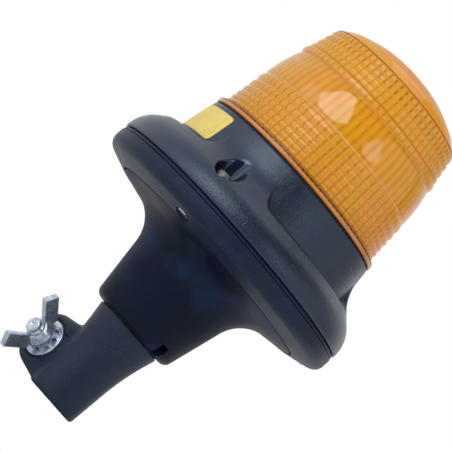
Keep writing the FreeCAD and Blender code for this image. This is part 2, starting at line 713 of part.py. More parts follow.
def lens():
    flange_top = LENS_Z + LENS_FLANGE_T
    lower_end = LENS_Z + LOWER_RING_END
    belly_top = LENS_Z + BELLY_TOP_H
    middle_end = LENS_Z + MIDDLE_RING_END
    upper_end = LENS_Z + UPPER_RING_END
    top = LENS_Z + LENS_HEIGHT
    edge_z = top - CROWN_DROP - CROWN_CORNER_DROP
    belly_r = (BELLY_FOOT_R + BELLY_TOP_R) / 2 + BELLY_SAG
    belly_bend_r = (belly_top - lower_end) ** 2 / (8 * BELLY_SAG)
    outside = [
        (LENS_SKIRT_R, LENS_Z - LENS_SKIRT_LENGTH), (LENS_SKIRT_R, LENS_Z),
        (LENS_FLANGE_R, LENS_Z, LENS_FLANGE_ROUND), (LENS_FLANGE_R, flange_top, LENS_FLANGE_ROUND),
        (LOWER_RING_R - RING_DEPTH, flange_top)]
    outside += ring_corners(LOWER_RINGS, LENS_Z + LOWER_RING_START, lower_end,
                            LOWER_RING_R, BELLY_FOOT_R + RING_DEPTH / 2)
    outside += [(BELLY_FOOT_R - RING_DEPTH / 2, lower_end),
                (belly_r, (lower_end + belly_top) / 2, belly_bend_r), (BELLY_TOP_R, belly_top)]
    outside += [(MIDDLE_RING_R, (belly_top + middle_end) / 2, RING_ROUND)]
    outside += ring_corners(UPPER_RINGS, middle_end, upper_end, UPPER_RING_R, CROWN_EDGE_R)
    outside += [(CROWN_EDGE_R - RING_DEPTH / 2, upper_end),
                (CROWN_CORNER_R, edge_z, CROWN_CORNER_ROUND),
                (CROWN_R, top - CROWN_DROP, CROWN_ROUND), (0, top)]
    inside = [
        (0, top - LENS_WALL), (CROWN_R - LENS_WALL / 2, top - CROWN_DROP - LENS_WALL, CROWN_ROUND),
        (CROWN_CORNER_R - LENS_WALL / 2, edge_z - LENS_WALL, CROWN_CORNER_ROUND),
        (CROWN_EDGE_R - RING_DEPTH - LENS_WALL, upper_end - LENS_WALL),
        (BELLY_TOP_R - RING_DEPTH - LENS_WALL, middle_end),
        (BELLY_FOOT_R - RING_DEPTH / 2 - LENS_WALL, lower_end),
        (LENS_SKIRT_R - LENS_WALL, LENS_Z), (LENS_SKIRT_R - LENS_WALL, LENS_Z - LENS_SKIRT_LENGTH)]
    return revolved(outside + inside)


def lens_seal():
    inner = HOUSING_BORE_R + SMALL_GAP
    return ring(inner, inner + LENS_SEAL_W, HOUSING_TOP_Z, LENS_Z)


# Electrical contacts
def contact_carrier():
    """The insulating bush in the stem, with a chamber for the spring."""
    flange_top = STEM_TOP_Z + CARRIER_FLANGE_T
    floor_z = POLE_BORE_DEPTH + CARRIER_FLOOR_T
    return revolved([
        (PIN_R + PIN_CLEARANCE, POLE_BORE_DEPTH), (CARRIER_R, POLE_BORE_DEPTH),
        (CARRIER_R, STEM_TOP_Z), (CARRIER_FLANGE_R, STEM_TOP_Z), (CARRIER_FLANGE_R, flange_top),
        (SPRING_CHAMBER_R, flange_top), (SPRING_CHAMBER_R, floor_z),
        (PIN_R + PIN_CLEARANCE, floor_z)])


def contact_pin():
    tip_z = POLE_BORE_DEPTH + PIN_TIP_RECESS
    collar_z = POLE_BORE_DEPTH + CARRIER_FLOOR_T
    collar_top = collar_z + PIN_COLLAR_T
    tail_top = collar_top + PIN_TAIL_LENGTH
    return revolved([
        (0, tip_z), (PIN_R, tip_z, PIN_TIP_ROUND), (PIN_R, collar_z), (PIN_COLLAR_R, collar_z),
        (PIN_COLLAR_R, collar_top), (PIN_TAIL_R, collar_top), (PIN_TAIL_R, tail_top, SMALL_GAP),
        (0, tail_top)])


def contact_spring():
    """A coil spring between the pin's collar and the terminal plate."""
    foot = POLE_BORE_DEPTH + CARRIER_FLOOR_T + PIN_COLLAR_T + PIN_CLEARANCE + SPRING_WIRE_R
    head = STEM_TOP_Z + CARRIER_FLANGE_T - SPRING_WIRE_R
    helix = Part.makeHelix((head - foot) / SPRING_TURNS, head - foot, SPRING_R)
    start = vec(SPRING_R, 0, 0)
    section = Part.Wire(Part.makeCircle(SPRING_WIRE_R, start, vec(0, 1, 0)))
    coil = Part.Wire(helix.Edges).makePipeShell([section], True, True)
    coil.translate(vec(0, 0, foot))
    return coil


def contact_terminal():
    foot = STEM_TOP_Z + CARRIER_FLANGE_T
    return revolved([
        (0, foot), (TERMINAL_R, foot), (TERMINAL_R, foot + TERMINAL_T, TERMINAL_T / 2),
        (0, foot + TERMINAL_T)])


def earth_ring():
    """The ring that the pole's end bears on, with the tab that rises past the bush."""
    plate = ring(CARRIER_R + SMALL_GAP, EARTH_RING_R, POLE_BORE_DEPTH, POLE_BORE_DEPTH + EARTH_RING_T)
    tab = box(-EARTH_TAB_W / 2, EARTH_TAB_W / 2, EARTH_TAB_Y - EARTH_RING_T / 2,
              EARTH_TAB_Y + EARTH_RING_T / 2, POLE_BORE_DEPTH,
              STEM_TOP_Z + EARTH_TAB_RISE)
    return plate.fuse(tab)


def lead(start, end):
    """A wire that rises from its terminal, leans over to one side and ends under the board."""
    first = vec(start.x, start.y, start.z + LEAD_RISE)
    last = vec(end.x, end.y, end.z - LEAD_RISE)
    points = [start, first, last, end]
    edges = []
    tail = start
    for before, corner, after in zip(points, points[1:], points[2:]):
        arc = bend(before, corner, after, LEAD_BEND_R, 2 * ROUND_SHARE, ROUND_SHARE)
        edges.append(Part.LineSegment(tail, arc[0]).toShape())
        edges.append(Part.Arc(*arc).toShape())
        tail = arc[2]
    edges.append(Part.LineSegment(tail, end).toShape())
    section = Part.Wire(Part.makeCircle(LEAD_R, start, vec(0, 0, 1)))
    return Part.Wire(edges).makePipeShell([section], True, False)


def power_leads():
    live_start = vec(0, -TERMINAL_R / 2, STEM_TOP_Z + CARRIER_FLANGE_T + TERMINAL_T)
    earth_start = vec(0, EARTH_TAB_Y, STEM_TOP_Z + EARTH_TAB_RISE)
    live_end = vec(LEAD_BOARD_X, -LEAD_BOARD_Y, BOARD_Z)
    earth_end = vec(LEAD_BOARD_X, LEAD_BOARD_Y, BOARD_Z)
    return group([lead(live_start, live_end), lead(earth_start, earth_end)])


# Electronics
def board_spacers():
    hole_r = BOARD_SCREW_D / 2 + SMALL_GAP
    spacers = []
    for point in spacer_points():
        spacer = hexagon(2 * SPACER_R, PLATE_TOP_Z, BOARD_Z, point)
        hole = cylinder(hole_r, PLATE_TOP_Z - OVERSHOOT, BOARD_Z + OVERSHOOT, point)
        spacers.append(spacer.cut(hole))
    return group(spacers)


def main_board():
    body = cylinder(BOARD_R, BOARD_Z, BOARD_TOP_Z)
    hole_r = BOARD_SCREW_D / 2 + SMALL_GAP
    return body.cut([cylinder(hole_r, BOARD_Z - OVERSHOOT, BOARD_TOP_Z + OVERSHOOT, point)
                     for point in spacer_points()])


def board_screws():
    tip_z = BOARD_Z - BOARD_SCREW_GRIP
    return group([pan_screw(point, BOARD_SCREW_D, BOARD_SCREW_HEAD_R, BOARD_SCREW_HEAD_H,
                            BOARD_TOP_Z, tip_z) for point in spacer_points()])


def led_post():
    """A six-sided heat-conducting column on a round foot."""
    foot = cylinder(POST_FOOT_R, BOARD_TOP_Z, BOARD_TOP_Z + POST_FOOT_T)
    return foot.fuse(hexagon(POST_AF, BOARD_TOP_Z, BOARD_TOP_Z + POST_HEIGHT)).removeSplitter()


def strip_top_z():
    return BOARD_TOP_Z + POST_HEIGHT - LED_STRIP_DROP


def post_faces():
    """Azimuths that the flat sides of the post face."""
    return azimuths(POST_FACES, 180 / POST_FACES)


def led_strips():
    face_y = POST_AF / 2
    strip = box(-LED_STRIP_W / 2, LED_STRIP_W / 2, -face_y - LED_STRIP_T, -face_y,
                strip_top_z() - LED_STRIP_H, strip_top_z())
    return group([turned(strip, azimuth) for azimuth in post_faces()])


def led_emitters():
    face_y = POST_AF / 2 + LED_STRIP_T
    pitch = LED_STRIP_H / LEDS_PER_STRIP
    emitters = []
    for azimuth in post_faces():
        for index in range(LEDS_PER_STRIP):
            centre_z = strip_top_z() - (index + 0.5) * pitch
            emitter = box(-LED_SIZE / 2, LED_SIZE / 2, -face_y - LED_T, -face_y,
                          centre_z - LED_SIZE / 2, centre_z + LED_SIZE / 2)
            emitters.append(turned(emitter, azimuth))
    return group(emitters)


def capacitors():
    cans = []
    for azimuth in (CAPACITOR_AZIMUTH, CAPACITOR_AZIMUTH + CAPACITOR_STEP):
        can = revolved([
            (0, BOARD_TOP_Z), (CAPACITOR_R, BOARD_TOP_Z),
            (CAPACITOR_R, BOARD_TOP_Z + CAPACITOR_H, CAPACITOR_ROUND),
            (0, BOARD_TOP_Z + CAPACITOR_H)])
        can.translate(around(azimuth, CAPACITOR_CIRCLE_R))
        cans.append(can)
    return group(cans)


def choke():
    centre = around(CHOKE_AZIMUTH, CHOKE_CIRCLE_R) + vec(0, 0, BOARD_TOP_Z + CHOKE_WIRE_R)
    return Part.makeTorus(CHOKE_R, CHOKE_WIRE_R, centre)


def terminal_block():
    body = box(BLOCK_X - BLOCK_W / 2, BLOCK_X + BLOCK_W / 2, -BLOCK_L / 2, BLOCK_L / 2,
               BOARD_TOP_Z, BOARD_TOP_Z + BLOCK_H)
    top = BOARD_TOP_Z + BLOCK_H
    wells = [cylinder(BLOCK_W / 4, top - BLOCK_H / 2, top + OVERSHOOT, vec(BLOCK_X, side * BLOCK_L / 4, 0))
             for side in (-1, 1)]
    return body.cut(wells)


PIECES = [
    pole_socket, clamp_bolt, bolt_head_washer, flat_washer, lock_washer, wing_nut,
    neck_cone, neck_seal, socket_nut, neck_screws, base_ring, base_gasket,
    upper_housing, housing_screws, housing_washers, housing_nuts, lens, lens_seal,
    contact_carrier, contact_pin, contact_spring, contact_terminal, earth_ring, power_leads,
    board_spacers, main_board, board_screws, led_post, led_strips, led_emitters,
    capacitors, choke, terminal_block]


os.makedirs("parts", exist_ok=True)
for piece in PIECES:
    shape = piece()
    shape.exportStep("parts/" + piece.__name__ + ".step")
    print(piece.__name__, len(shape.Solids), shape.isValid(), round(shape.Volume, 1))
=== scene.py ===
"""Looks of an amber flashing warning light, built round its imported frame.

Lengths in this script are millimetres, apart from those of the lamps, which are metres.
Meshes are scaled to metres as they are made.
"""
import math

import bmesh
import bpy
from mathutils import Matrix, Vector


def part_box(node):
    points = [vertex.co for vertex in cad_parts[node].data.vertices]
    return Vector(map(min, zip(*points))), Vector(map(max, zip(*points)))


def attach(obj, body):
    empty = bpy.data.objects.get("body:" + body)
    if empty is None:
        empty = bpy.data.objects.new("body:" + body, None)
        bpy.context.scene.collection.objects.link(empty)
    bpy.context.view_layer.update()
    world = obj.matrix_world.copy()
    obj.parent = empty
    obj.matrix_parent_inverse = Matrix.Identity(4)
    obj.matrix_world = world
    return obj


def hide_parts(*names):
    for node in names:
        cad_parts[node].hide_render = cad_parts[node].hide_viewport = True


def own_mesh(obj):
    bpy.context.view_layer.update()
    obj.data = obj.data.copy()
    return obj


MM = 0.001
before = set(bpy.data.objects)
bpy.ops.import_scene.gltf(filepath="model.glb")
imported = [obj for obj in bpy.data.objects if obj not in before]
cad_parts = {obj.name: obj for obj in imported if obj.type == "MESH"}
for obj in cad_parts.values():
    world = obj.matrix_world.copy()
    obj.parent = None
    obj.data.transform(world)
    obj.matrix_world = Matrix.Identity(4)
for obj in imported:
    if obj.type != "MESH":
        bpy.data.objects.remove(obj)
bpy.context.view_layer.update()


# Levels and radii read from the frame
def bottom(node):
    """Lowest level of a node."""
    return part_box(node)[0].z / MM


def top(node):
    """Highest level of a node."""
    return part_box(node)[1].z / MM


def reach(node):
    """Largest radius of a node about the pole's axis."""
    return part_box(node)[1].y / MM


# Shapes; a rounded corner takes at most a share of each side, with more beside a sharp corner
SHARE_BY_ROUND = 0.49
SHARE_BY_SHARP = 0.98


def bend(before, corner, after, radius, free_before, free_after, steps):
    """Points of a rounded corner, or the corner itself where it has no radius."""
    if radius == 0:
        return [corner]
    back = before - corner
    ahead = after - corner
    room = min(back.length * free_before, ahead.length * free_after)
    half = back.angle(ahead) / 2
    reach_along = min(radius / math.tan(half), room)
    radius = reach_along * math.tan(half)
    back.normalize()
    ahead.normalize()
    inward = (back + ahead).normalized()
    centre = corner + inward * (radius / math.sin(half))
    first = corner + back * reach_along - centre
    last = corner + ahead * reach_along - centre
    turn = first.angle_signed(last)
    points = []
    for step in range(steps + 1):
        spoke = first.copy()
        spoke.rotate(Matrix.Rotation(-turn * step / steps, 2))
        points.append(centre + spoke)
    return points


def rounded(corners, steps=8):
    """A closed outline through corners (a, b) or (a, b, radius)."""
    points = [Vector(corner[:2]) for corner in corners]
    radii = [corner[2] if len(corner) > 2 else 0 for corner in corners]
    share = [SHARE_BY_ROUND if radius else SHARE_BY_SHARP for radius in radii]
    outline = []
    for index, corner in enumerate(points):
        ahead = (index + 1) % len(points)
        outline += bend(points[index - 1], corner, points[ahead], radii[index],
                        share[index - 1], share[ahead], steps)
    return outline


def spaced(outline, longest, closed=True):
    """The same outline with its long sides divided."""
    result = []
    last = len(outline) if closed else len(outline) - 1
    for index in range(last):
        here = outline[index]
        there = outline[(index + 1) % len(outline)]
        count = max(1, math.ceil((there - here).length / longest))
        result += [here.lerp(there, step / count) for step in range(count)]
    if not closed:
        result.append(outline[-1])
    return result


def mesh_object(name, points, faces):
    """A mesh object from points in millimetres."""
    mesh = bpy.data.meshes.new(name)
    mesh.from_pydata([Vector(point) * MM for point in points], [], faces)
    mesh.validate()
    piece = bpy.data.objects.new(name, mesh)
    bpy.context.scene.collection.objects.link(piece)
    return piece


def weld(piece, distance=0.002):
    """Joins points that lie together, drops empty faces and turns all faces outwards."""
    work = bmesh.new()
    work.from_mesh(piece.data)
    bmesh.ops.remove_doubles(work, verts=work.verts, dist=distance * MM)
    bmesh.ops.dissolve_degenerate(work, edges=work.edges, dist=distance * MM / 4)
    bmesh.ops.recalc_face_normals(work, faces=work.faces)
    work.to_mesh(piece.data)
    work.free()
    return piece


def grid_faces(rows, columns, wrap_rows):
    """Quads of a grid whose columns close on themselves."""
    faces = []
    for row in range(rows if wrap_rows else rows - 1):
        for column in range(columns):
            across = (column + 1) % columns
            up = (row + 1) % rows
            faces.append((row * columns + column, row * columns + across,
                          up * columns + across, up * columns + column))
    return faces


def polar(radius, azimuth, z):
    """A point at an azimuth in degrees, counted from -Y towards +X."""
    angle = math.radians(azimuth)
    return (radius * math.sin(angle), -radius * math.cos(angle), z)


def lathe(name, outline, segments):
    """A closed body of revolution from an outline of (radius, height) points."""
    points = []
    for spot in outline:
        points += [polar(spot.x, 360 * column / segments, spot.y) for column in range(segments)]
    return weld(mesh_object(name, points, grid_faces(len(outline), segments, True)))


def smooth_faces(piece, angle=35):
    """Smooth shading, with edges sharper than an angle kept sharp."""
    piece.data.polygons.foreach_set("use_smooth", [True] * len(piece.data.polygons))
    piece.data.set_sharp_from_angle(angle=math.radians(angle))
    return piece


def settle(piece):
    """Bakes a piece's modifiers into its mesh."""
    graph = bpy.context.evaluated_depsgraph_get()
    mesh = bpy.data.meshes.new_from_object(piece.evaluated_get(graph))
    piece.modifiers.clear()
    piece.data = mesh
    return piece


def combine(piece, others, operation):
    """Cuts others from a piece, or joins them to it."""
    for other in others:
        modifier = piece.modifiers.new("combine", "BOOLEAN")
        modifier.operation = operation
        modifier.solver = "EXACT"
        modifier.object = other
    settle(piece)
    for other in others:
        bpy.data.objects.remove(other)
    return piece


def soften(piece, voxel, rounds, factor=0.5):
    """Remeshes a piece evenly and smooths it, which rounds its edges as a mould does."""
    remesh = piece.modifiers.new("remesh", "REMESH")
    remesh.mode = "VOXEL"
    remesh.voxel_size = voxel * MM
    smooth = piece.modifiers.new("smooth", "SMOOTH")
    smooth.factor = factor
    smooth.iterations = rounds
    settle(piece)
    piece.data.polygons.foreach_set("use_smooth", [True] * len(piece.data.polygons))
    return piece


# Sizes of the lens, heights counted from its seal
LENS_WALL = 2.4
LENS_SKIRT_STEP = 4.5
LENS_FLANGE_T = 3.4
RING_DEPTH = 1.05
LOWER_RINGS = 6
LOWER_RING_GROWTH = 1.15
LOWER_RING_START = 4.0
LOWER_RING_END = 30.1
LOWER_RING_INSET = 2.7
BELLY_FOOT_INSET = 3.0
BELLY_TOP_H = 52.6
BELLY_TAPER = 4.3
BELLY_SAG = 0.9
MIDDLE_RING_END = 57.6
MIDDLE_RING_RISE = 0.6
UPPER_RINGS = 4
UPPER_RING_END = 75.4
UPPER_RING_INSET = 1.0
UPPER_RING_TAPER = 4.1
CROWN_CORNER_INSET = 6.9
CROWN_CORNER_DROP = 7.5
CROWN_INSET = 17.5
CROWN_DROP = 1.3
LENS_WIDE_ROUND = 60.0
LENS_CORNER_ROUND = 20.0
FLANGE_TOP_ROUND = 1.1
FLANGE_FOOT_ROUND = 0.5
FLANGE_INNER_ROUND = 0.4
SKIRT_ROUND = 0.3
FLUTES = 72
FLUTE_DEPTH = 0.7
COLUMNS_PER_FLUTE = 8
POINTS_PER_RING = 10
BELLY_ROWS = 16
LENS_ROW = 4.0
LENS_INNER_ROW = 3.0
LENS_TOP_H = top("lens") - top("lens_seal")


# Places of the housing screws
SCREWS = 3
SCREW_AZIMUTH = 24.0
SCREW_TO_RIM = 11.6
WELL_R = 7.6


def screw_points():
    """Places of the housing screws, (x, y)."""
    circle_r = reach("base_ring") - SCREW_TO_RIM
    return [polar(circle_r, SCREW_AZIMUTH + 360 * index / SCREWS, 0)[:2] for index in range(SCREWS)]


# Materials
class Finish:
    """A node material with a principled shader and the object's own coordinates."""

    def __init__(self, name):
        self.material = bpy.data.materials.new(name)
        self.material.use_nodes = True
        self.nodes = self.material.node_tree.nodes
        self.links = self.material.node_tree.links
        self.shader = self.nodes["Principled BSDF"]
        self.place = self.nodes.new("ShaderNodeTexCoord").outputs["Object"]

    def set(self, **values):
        """Sets sockets of the shader; an underscore in a name stands for a space."""
        for name, value in values.items():
            self.shader.inputs[name.replace("_", " ")].default_value = value

    def feed(self, name, value):
        """Links a value to a socket of the shader."""
        self.links.new(value, self.shader.inputs[name])

    def node(self, kind, inputs=None, **settings):
        """A node with some of its inputs linked to other nodes or set to values."""
        made = self.nodes.new("ShaderNode" + kind)
        for name, value in settings.items():
            setattr(made, name, value)
        for name, value in (inputs or {}).items():
            if isinstance(value, bpy.types.NodeSocket):
                self.links.new(value, made.inputs[name])
            else:
                made.inputs[name].default_value = value
        return made

    def noise(self, scale, detail=3.0, stretch=(1, 1, 1)):
        """Noise of a given scale per metre, from 0 to 1."""
        place = self.node("Mapping", {"Vector": self.place, "Scale": stretch})
        made = self.node("TexNoise", {"Vector": place.outputs["Vector"], "Scale": scale, "Detail": detail})
        return made.outputs["Fac"]

    def spread(self, value, low, high, out_low, out_high):
        """Maps a range of values to another one, held at its ends."""
        made = self.node("MapRange", {"Value": value, "From Min": low, "From Max": high,
                                      "To Min": out_low, "To Max": out_high})
        return made.outputs["Result"]

    def shades(self, value, *stops):
        """A colour ramp from (position, colour) stops."""
        ramp = self.node("ValToRGB", {"Fac": value})
        while len(ramp.color_ramp.elements) < len(stops):
            ramp.color_ramp.elements.new(0.5)
        for element, (position, colour) in zip(ramp.color_ramp.elements, stops):
            element.position = position
            element.color = (*colour, 1)
        return ramp.outputs["Color"]

    def maths(self, operation, first, second=0.0):
        """The value that an operation on one or two values gives."""
        made = self.node("Math", {0: first, 1: second}, operation=operation)
        return made.outputs["Value"]

    def product(self, first, *others):
        """Values multiplied together."""
        for other in others:
            first = self.maths("MULTIPLY", first, other)
        return first

    def vector(self, operation, first, second=(0, 0, 0)):
        """The vector that an operation on one or two vectors gives."""
        return self.node("VectorMath", {0: first, 1: second}, operation=operation).outputs["Vector"]

    def measure(self, operation, first, second):
        """The value that an operation on two vectors gives."""
        return self.node("VectorMath", {0: first, 1: second}, operation=operation).outputs["Value"]

    def flat_place(self):
        """The place with its height left out."""
        return self.vector("MULTIPLY", self.place, (1, 1, 0))

    def mixed(self, factor, first, second):
        """A mix of two colours or values."""
        made = self.node("Mix", data_type="RGBA")
        sockets = [socket for socket in made.inputs if socket.enabled]
        for socket, value in zip(sockets, (factor, first, second)):
            if isinstance(value, bpy.types.NodeSocket):
                self.links.new(value, socket)
            elif isinstance(value, tuple):
                socket.default_value = (*value, 1)
            else:
                socket.default_value = value
        return [socket for socket in made.outputs if socket.enabled][0]

    def bump(self, height, strength, distance):
        """Relief of a height, with its distance in millimetres."""
        made = self.node("Bump", {"Height": height, "Strength": strength, "Distance": distance * MM})
        self.feed("Normal", made.outputs["Normal"])


def linear(red, green, blue):
    """A colour written as 8-bit screen values, for a shader."""
    def channel(value):
        value /= 255
        return value / 12.92 if value <= 0.04045 else ((value + 0.055) / 1.055) ** 2.4
    return (channel(red), channel(green), channel(blue))


# Range that holds most values of a noise
NOISE_LOW = 0.3
NOISE_HIGH = 0.7

# Dark plastics and rubber
BLUISH = (0.62, 0.77, 1.0, 1.0)
GRAIN_RANGE = (0.38, 0.68)
# How much lighter than the plastic the painted glints in the grain are
GRAIN_GLINT = 2.2
GRAIN_AND_GLINT_SHARE = 0.45
GRAIN_STRENGTH = 0.7
MOTTLE_SCALE = 45
MOTTLE_RANGE = (0.3, 0.72)
MOTTLE_GLOSS = 0.06
WELL_EDGE = 0.5
WELL_GLOSS = 0.3
NECK_GRAIN = 1800
NECK_GRAIN_RANGE = (0.3, 0.75)
NECK_ROUGHNESS = (0.42, 0.58)
SMUDGE_SCALE = 32
SMUDGE_STRETCH = (1, 1, 0.7)
SMUDGE_RANGE = (0.48, 0.66)
SMUDGE_GLOSS_RANGE = (0.35, 0.7)
SMUDGE_SHARE = 0.75


def outside_wells(finish, points):
    """0 in the screw wells about some points (x, y), and 1 outside them."""
    near = 1.0
    for x, y in points:
        away = finish.measure("DISTANCE", finish.flat_place(), (x * MM, y * MM, 0))
        near = finish.maths("MINIMUM", away, near)
    return finish.spread(near, WELL_R * MM, (WELL_R + WELL_EDGE) * MM, 0.0, 1.0)


def moulded_plastic(name, dark, light, roughness, grain, depth, shine, wells=()):
    """Dark moulded plastic: a fine even grain flecked with painted glints, faint mottling, and smooth walls
    in screw wells.
    """
    finish = Finish(name)
    fine = finish.noise(grain, detail=2.0)
    broad = finish.noise(MOTTLE_SCALE, detail=4.0)
    shade = finish.shades(broad, (MOTTLE_RANGE[0], dark), (MOTTLE_RANGE[1], light))
    # The grain's lightest flecks are painted glints, far lighter than the plastic's own colour
    glint = tuple(channel * GRAIN_GLINT for channel in light)
    grain_and_glints = finish.shades(fine, (GRAIN_RANGE[0], dark), (GRAIN_RANGE[1], glint))
    finish.feed("Base Color", finish.mixed(GRAIN_AND_GLINT_SHARE, shade, grain_and_glints))
    gloss = finish.spread(broad, NOISE_LOW, NOISE_HIGH, roughness - MOTTLE_GLOSS, roughness + MOTTLE_GLOSS)
    relief = fine
    if wells:
        grained = outside_wells(finish, wells)
        gloss = finish.product(gloss, finish.spread(grained, 0.0, 1.0, WELL_GLOSS, 1.0))
        relief = finish.product(fine, grained)
    finish.feed("Roughness", gloss)
    finish.bump(relief, GRAIN_STRENGTH, depth)
    finish.set(Specular_IOR_Level=shine, Specular_Tint=BLUISH)
    return finish.material


def neck_rubber():
    """Smooth dark rubber with bluish smudges where hands have rubbed it."""
    finish = Finish("neck_rubber")
    fine = finish.noise(NECK_GRAIN, detail=2.0)
    smudge = finish.noise(SMUDGE_SCALE, detail=5.0, stretch=SMUDGE_STRETCH)
    low, high = NECK_GRAIN_RANGE
    base = finish.shades(fine, (low, linear(8, 14, 30)), (high, linear(13, 20, 38)))
    worn = finish.spread(smudge, *SMUDGE_RANGE, 0.0, SMUDGE_SHARE)
    finish.feed("Base Color", finish.mixed(worn, base, linear(30, 48, 80)))
    finish.feed("Roughness", finish.spread(smudge, *SMUDGE_GLOSS_RANGE, *NECK_ROUGHNESS))
    finish.bump(fine, strength=0.25, distance=0.05)
    finish.set(Specular_IOR_Level=0.15, Specular_Tint=BLUISH)
    return finish.material


# Bright zinc
ZINC_CLOUD = 320
ZINC_SCRATCH = 900
ZINC_SCRATCH_STRETCH = (1, 6, 6)
ZINC_ROUGHNESS = (0.13, 0.3)


def zinc_plate():
    """Bright zinc plate: bluish silver with cloudy gloss and fine scratches."""
    finish = Finish("zinc_plate")
    cloud = finish.noise(ZINC_CLOUD, detail=5.0)
    scratch = finish.noise(ZINC_SCRATCH, detail=3.0, stretch=ZINC_SCRATCH_STRETCH)
    colour = finish.shades(cloud, (NOISE_LOW, linear(162, 175, 197)), (NOISE_HIGH, linear(224, 232, 243)))
    finish.feed("Base Color", colour)
    finish.feed("Roughness", finish.spread(scratch, NOISE_LOW, NOISE_HIGH, *ZINC_ROUGHNESS))
    finish.bump(scratch, strength=0.12, distance=0.05)
    finish.set(Metallic=0.85)
    return finish.material


# Colours of the lens: its own amber, painted shade and painted highlights
AMBER_YELLOW = linear(247, 194, 34)
AMBER_WARM = linear(255, 184, 48)
AMBER_SHADE = linear(212, 110, 2)
AMBER_DOT_SHADE = linear(188, 86, 0)
AMBER_CROWN = linear(226, 148, 44)
AMBER_HIGHLIGHT = linear(255, 224, 176)
# Flange colours: painted shade under the flange and in the groove on its top, amber lightened by a painted
# highlight on its edge and top, painted shadow dashes, then plain amber above
FLANGE_UNDER_SHADE = linear(120, 50, 16)
FLANGE_EDGE_HIGHLIGHT = linear(246, 170, 74)
FLANGE_TOP_HIGHLIGHT = linear(250, 182, 86)
FLANGE_GROOVE_SHADE = linear(140, 70, 24)
FLANGE_SHADOW_DASH = linear(40, 16, 6)
FLANGE_ABOVE = linear(250, 178, 56)
CROWN_SHARE = 0.8
AMBER_CLOUD = 45

# Heights on the lens at which its pattern changes, and the height that a change takes
BLEND = 1.0
DOTTED_RING_START = (MIDDLE_RING_END + UPPER_RING_END) / 2
FLANGE_EDGE_H = LENS_FLANGE_T * 0.26
FLANGE_TOP_H = LENS_FLANGE_T * 0.62
GROOVE_H = LENS_FLANGE_T * 0.7
DASH_H = LENS_FLANGE_T * 0.78
FLANGE_FADE_H = LENS_FLANGE_T + 0.5
HIGHLIGHT_LINE_H = LOWER_RING_END + 0.4
BELLY_LINES_END_H = BELLY_TOP_H - 4.0
CROWN_EDGE_H = UPPER_RING_END + 2.0

# Upright lines of painted shade, with widths in flutes or dashes, their strengths, and their sway in the
# lower rings
JOINT_WIDTH = 0.24
LOWER_LINES = 0.85
BELLY_LINES = 0.62
MIDDLE_LINES = 0.7
DOTTED_LINES = 1.0
STREAK_WIDTH = 0.5
BRAID_WIDTH = 0.3
DASH_WIDTH = 0.42
FLANGE_DASHES = 108
RING_SWAY = 0.14
BRAID_STRENGTH = 0.3
STREAK_RANGE = (0.4, 0.62)
STREAK_STRENGTH = (0.25, 0.58)
STREAK_SCALE = 110
STREAK_STRETCH = (1, 1, 0.12)

# Lines round the lens: painted shade lines as (height, strength), a painted highlight line and painted shadow
# dashes, with the half width of their core and their reach
EDGE_LINES = ((BELLY_TOP_H + 1, 0.5), (MIDDLE_RING_END, 0.8), (UPPER_RING_END, 0.8))
EDGE_LINE_CORE = 0.2
EDGE_LINE_REACH = 0.55
HIGHLIGHT_LINE_STRENGTH = 0.28
HIGHLIGHT_LINE_REACH = 0.6
DASH_CORE = 0.4
DASH_REACH = 0.7

# Valleys between rings: their width in rings, and how far they break the upright lines
VALLEY_WIDTH = 0.3
VALLEY_GAP = 0.6
DOTTED_GAP = 0.95
RING_SOFTNESS = 0.7


class LensFinish(Finish):
    """A finish whose pattern follows the turn about the lens's axis and the height above its seal."""

    def __init__(self, name):
        super().__init__(name)
        across = self.node("SeparateXYZ", {"Vector": self.place}).outputs
        self.turn = self.maths("ARCTAN2", across["X"], self.product(across["Y"], -1.0))
        self.height = self.maths("SUBTRACT", self.maths("DIVIDE", across["Z"], MM), top("lens_seal"))
        self.share = self.maths("DIVIDE", self.height, LENS_TOP_H)

    def by_height(self, *stops):
        """A ramp up the lens from (height, value or colour) stops."""
        ramp = []
        for level, shade in stops:
            colour = shade if isinstance(shade, tuple) else (shade, shade, shade)
            ramp.append((level / LENS_TOP_H, colour))
        return self.shades(self.share, *ramp)

    def by_band(self, lower, belly, upper, crown):
        """A value for each band of the lens: lower rings, belly, upper rings and crown."""
        return self.by_height((LOWER_RING_END - BLEND, lower), (LOWER_RING_END, belly), (BELLY_TOP_H, belly),
                              (MIDDLE_RING_END, upper), (UPPER_RING_END, upper), (CROWN_EDGE_H, crown))

    def between(self, low, high, first=0.0, last=1.0):
        """A value that goes from first to last between two heights."""
        return self.spread(self.height, low, high, first, last)

    def near_level(self, level, core, reach_out, strength=1.0):
        """A strength at a height, full across a core and gone at its reach."""
        off = self.maths("ABSOLUTE", self.maths("SUBTRACT", self.height, level))
        return self.spread(off, core, reach_out, strength, 0.0)

    def near_whole(self, count, width):
        """1 where a count is a whole number, falling to 0 at a width from it."""
        return self.spread(self.maths("PINGPONG", count, 0.5), 0.0, width, 1.0, 0.0)

    def ring_count(self, low, high, count, growth=1.0):
        """The number of rings below the height, which goes from 0 at one level to a count at another."""
        risen = self.maths("DIVIDE", self.maths("SUBTRACT", self.height, low), high - low)
        if growth == 1.0:
            return self.product(risen, count)
        grown = self.product(risen, growth ** count - 1)
        return self.maths("LOGARITHM", self.maths("ADD", grown, 1.0), growth)

    def upright_normal(self, amount):
        """The surface's normal, turned outwards from the axis by an amount, so that rings shade softly."""
        normal = self.node("NewGeometry").outputs["Normal"]
        outward = self.vector("NORMALIZE", self.flat_place())
        push = self.product(self.measure("DOT_PRODUCT", normal, outward), amount)
        pushed = self.node("VectorMath", {0: outward, "Scale": push}, operation="SCALE").outputs["Vector"]
        return self.vector("NORMALIZE", self.vector("ADD", normal, pushed))


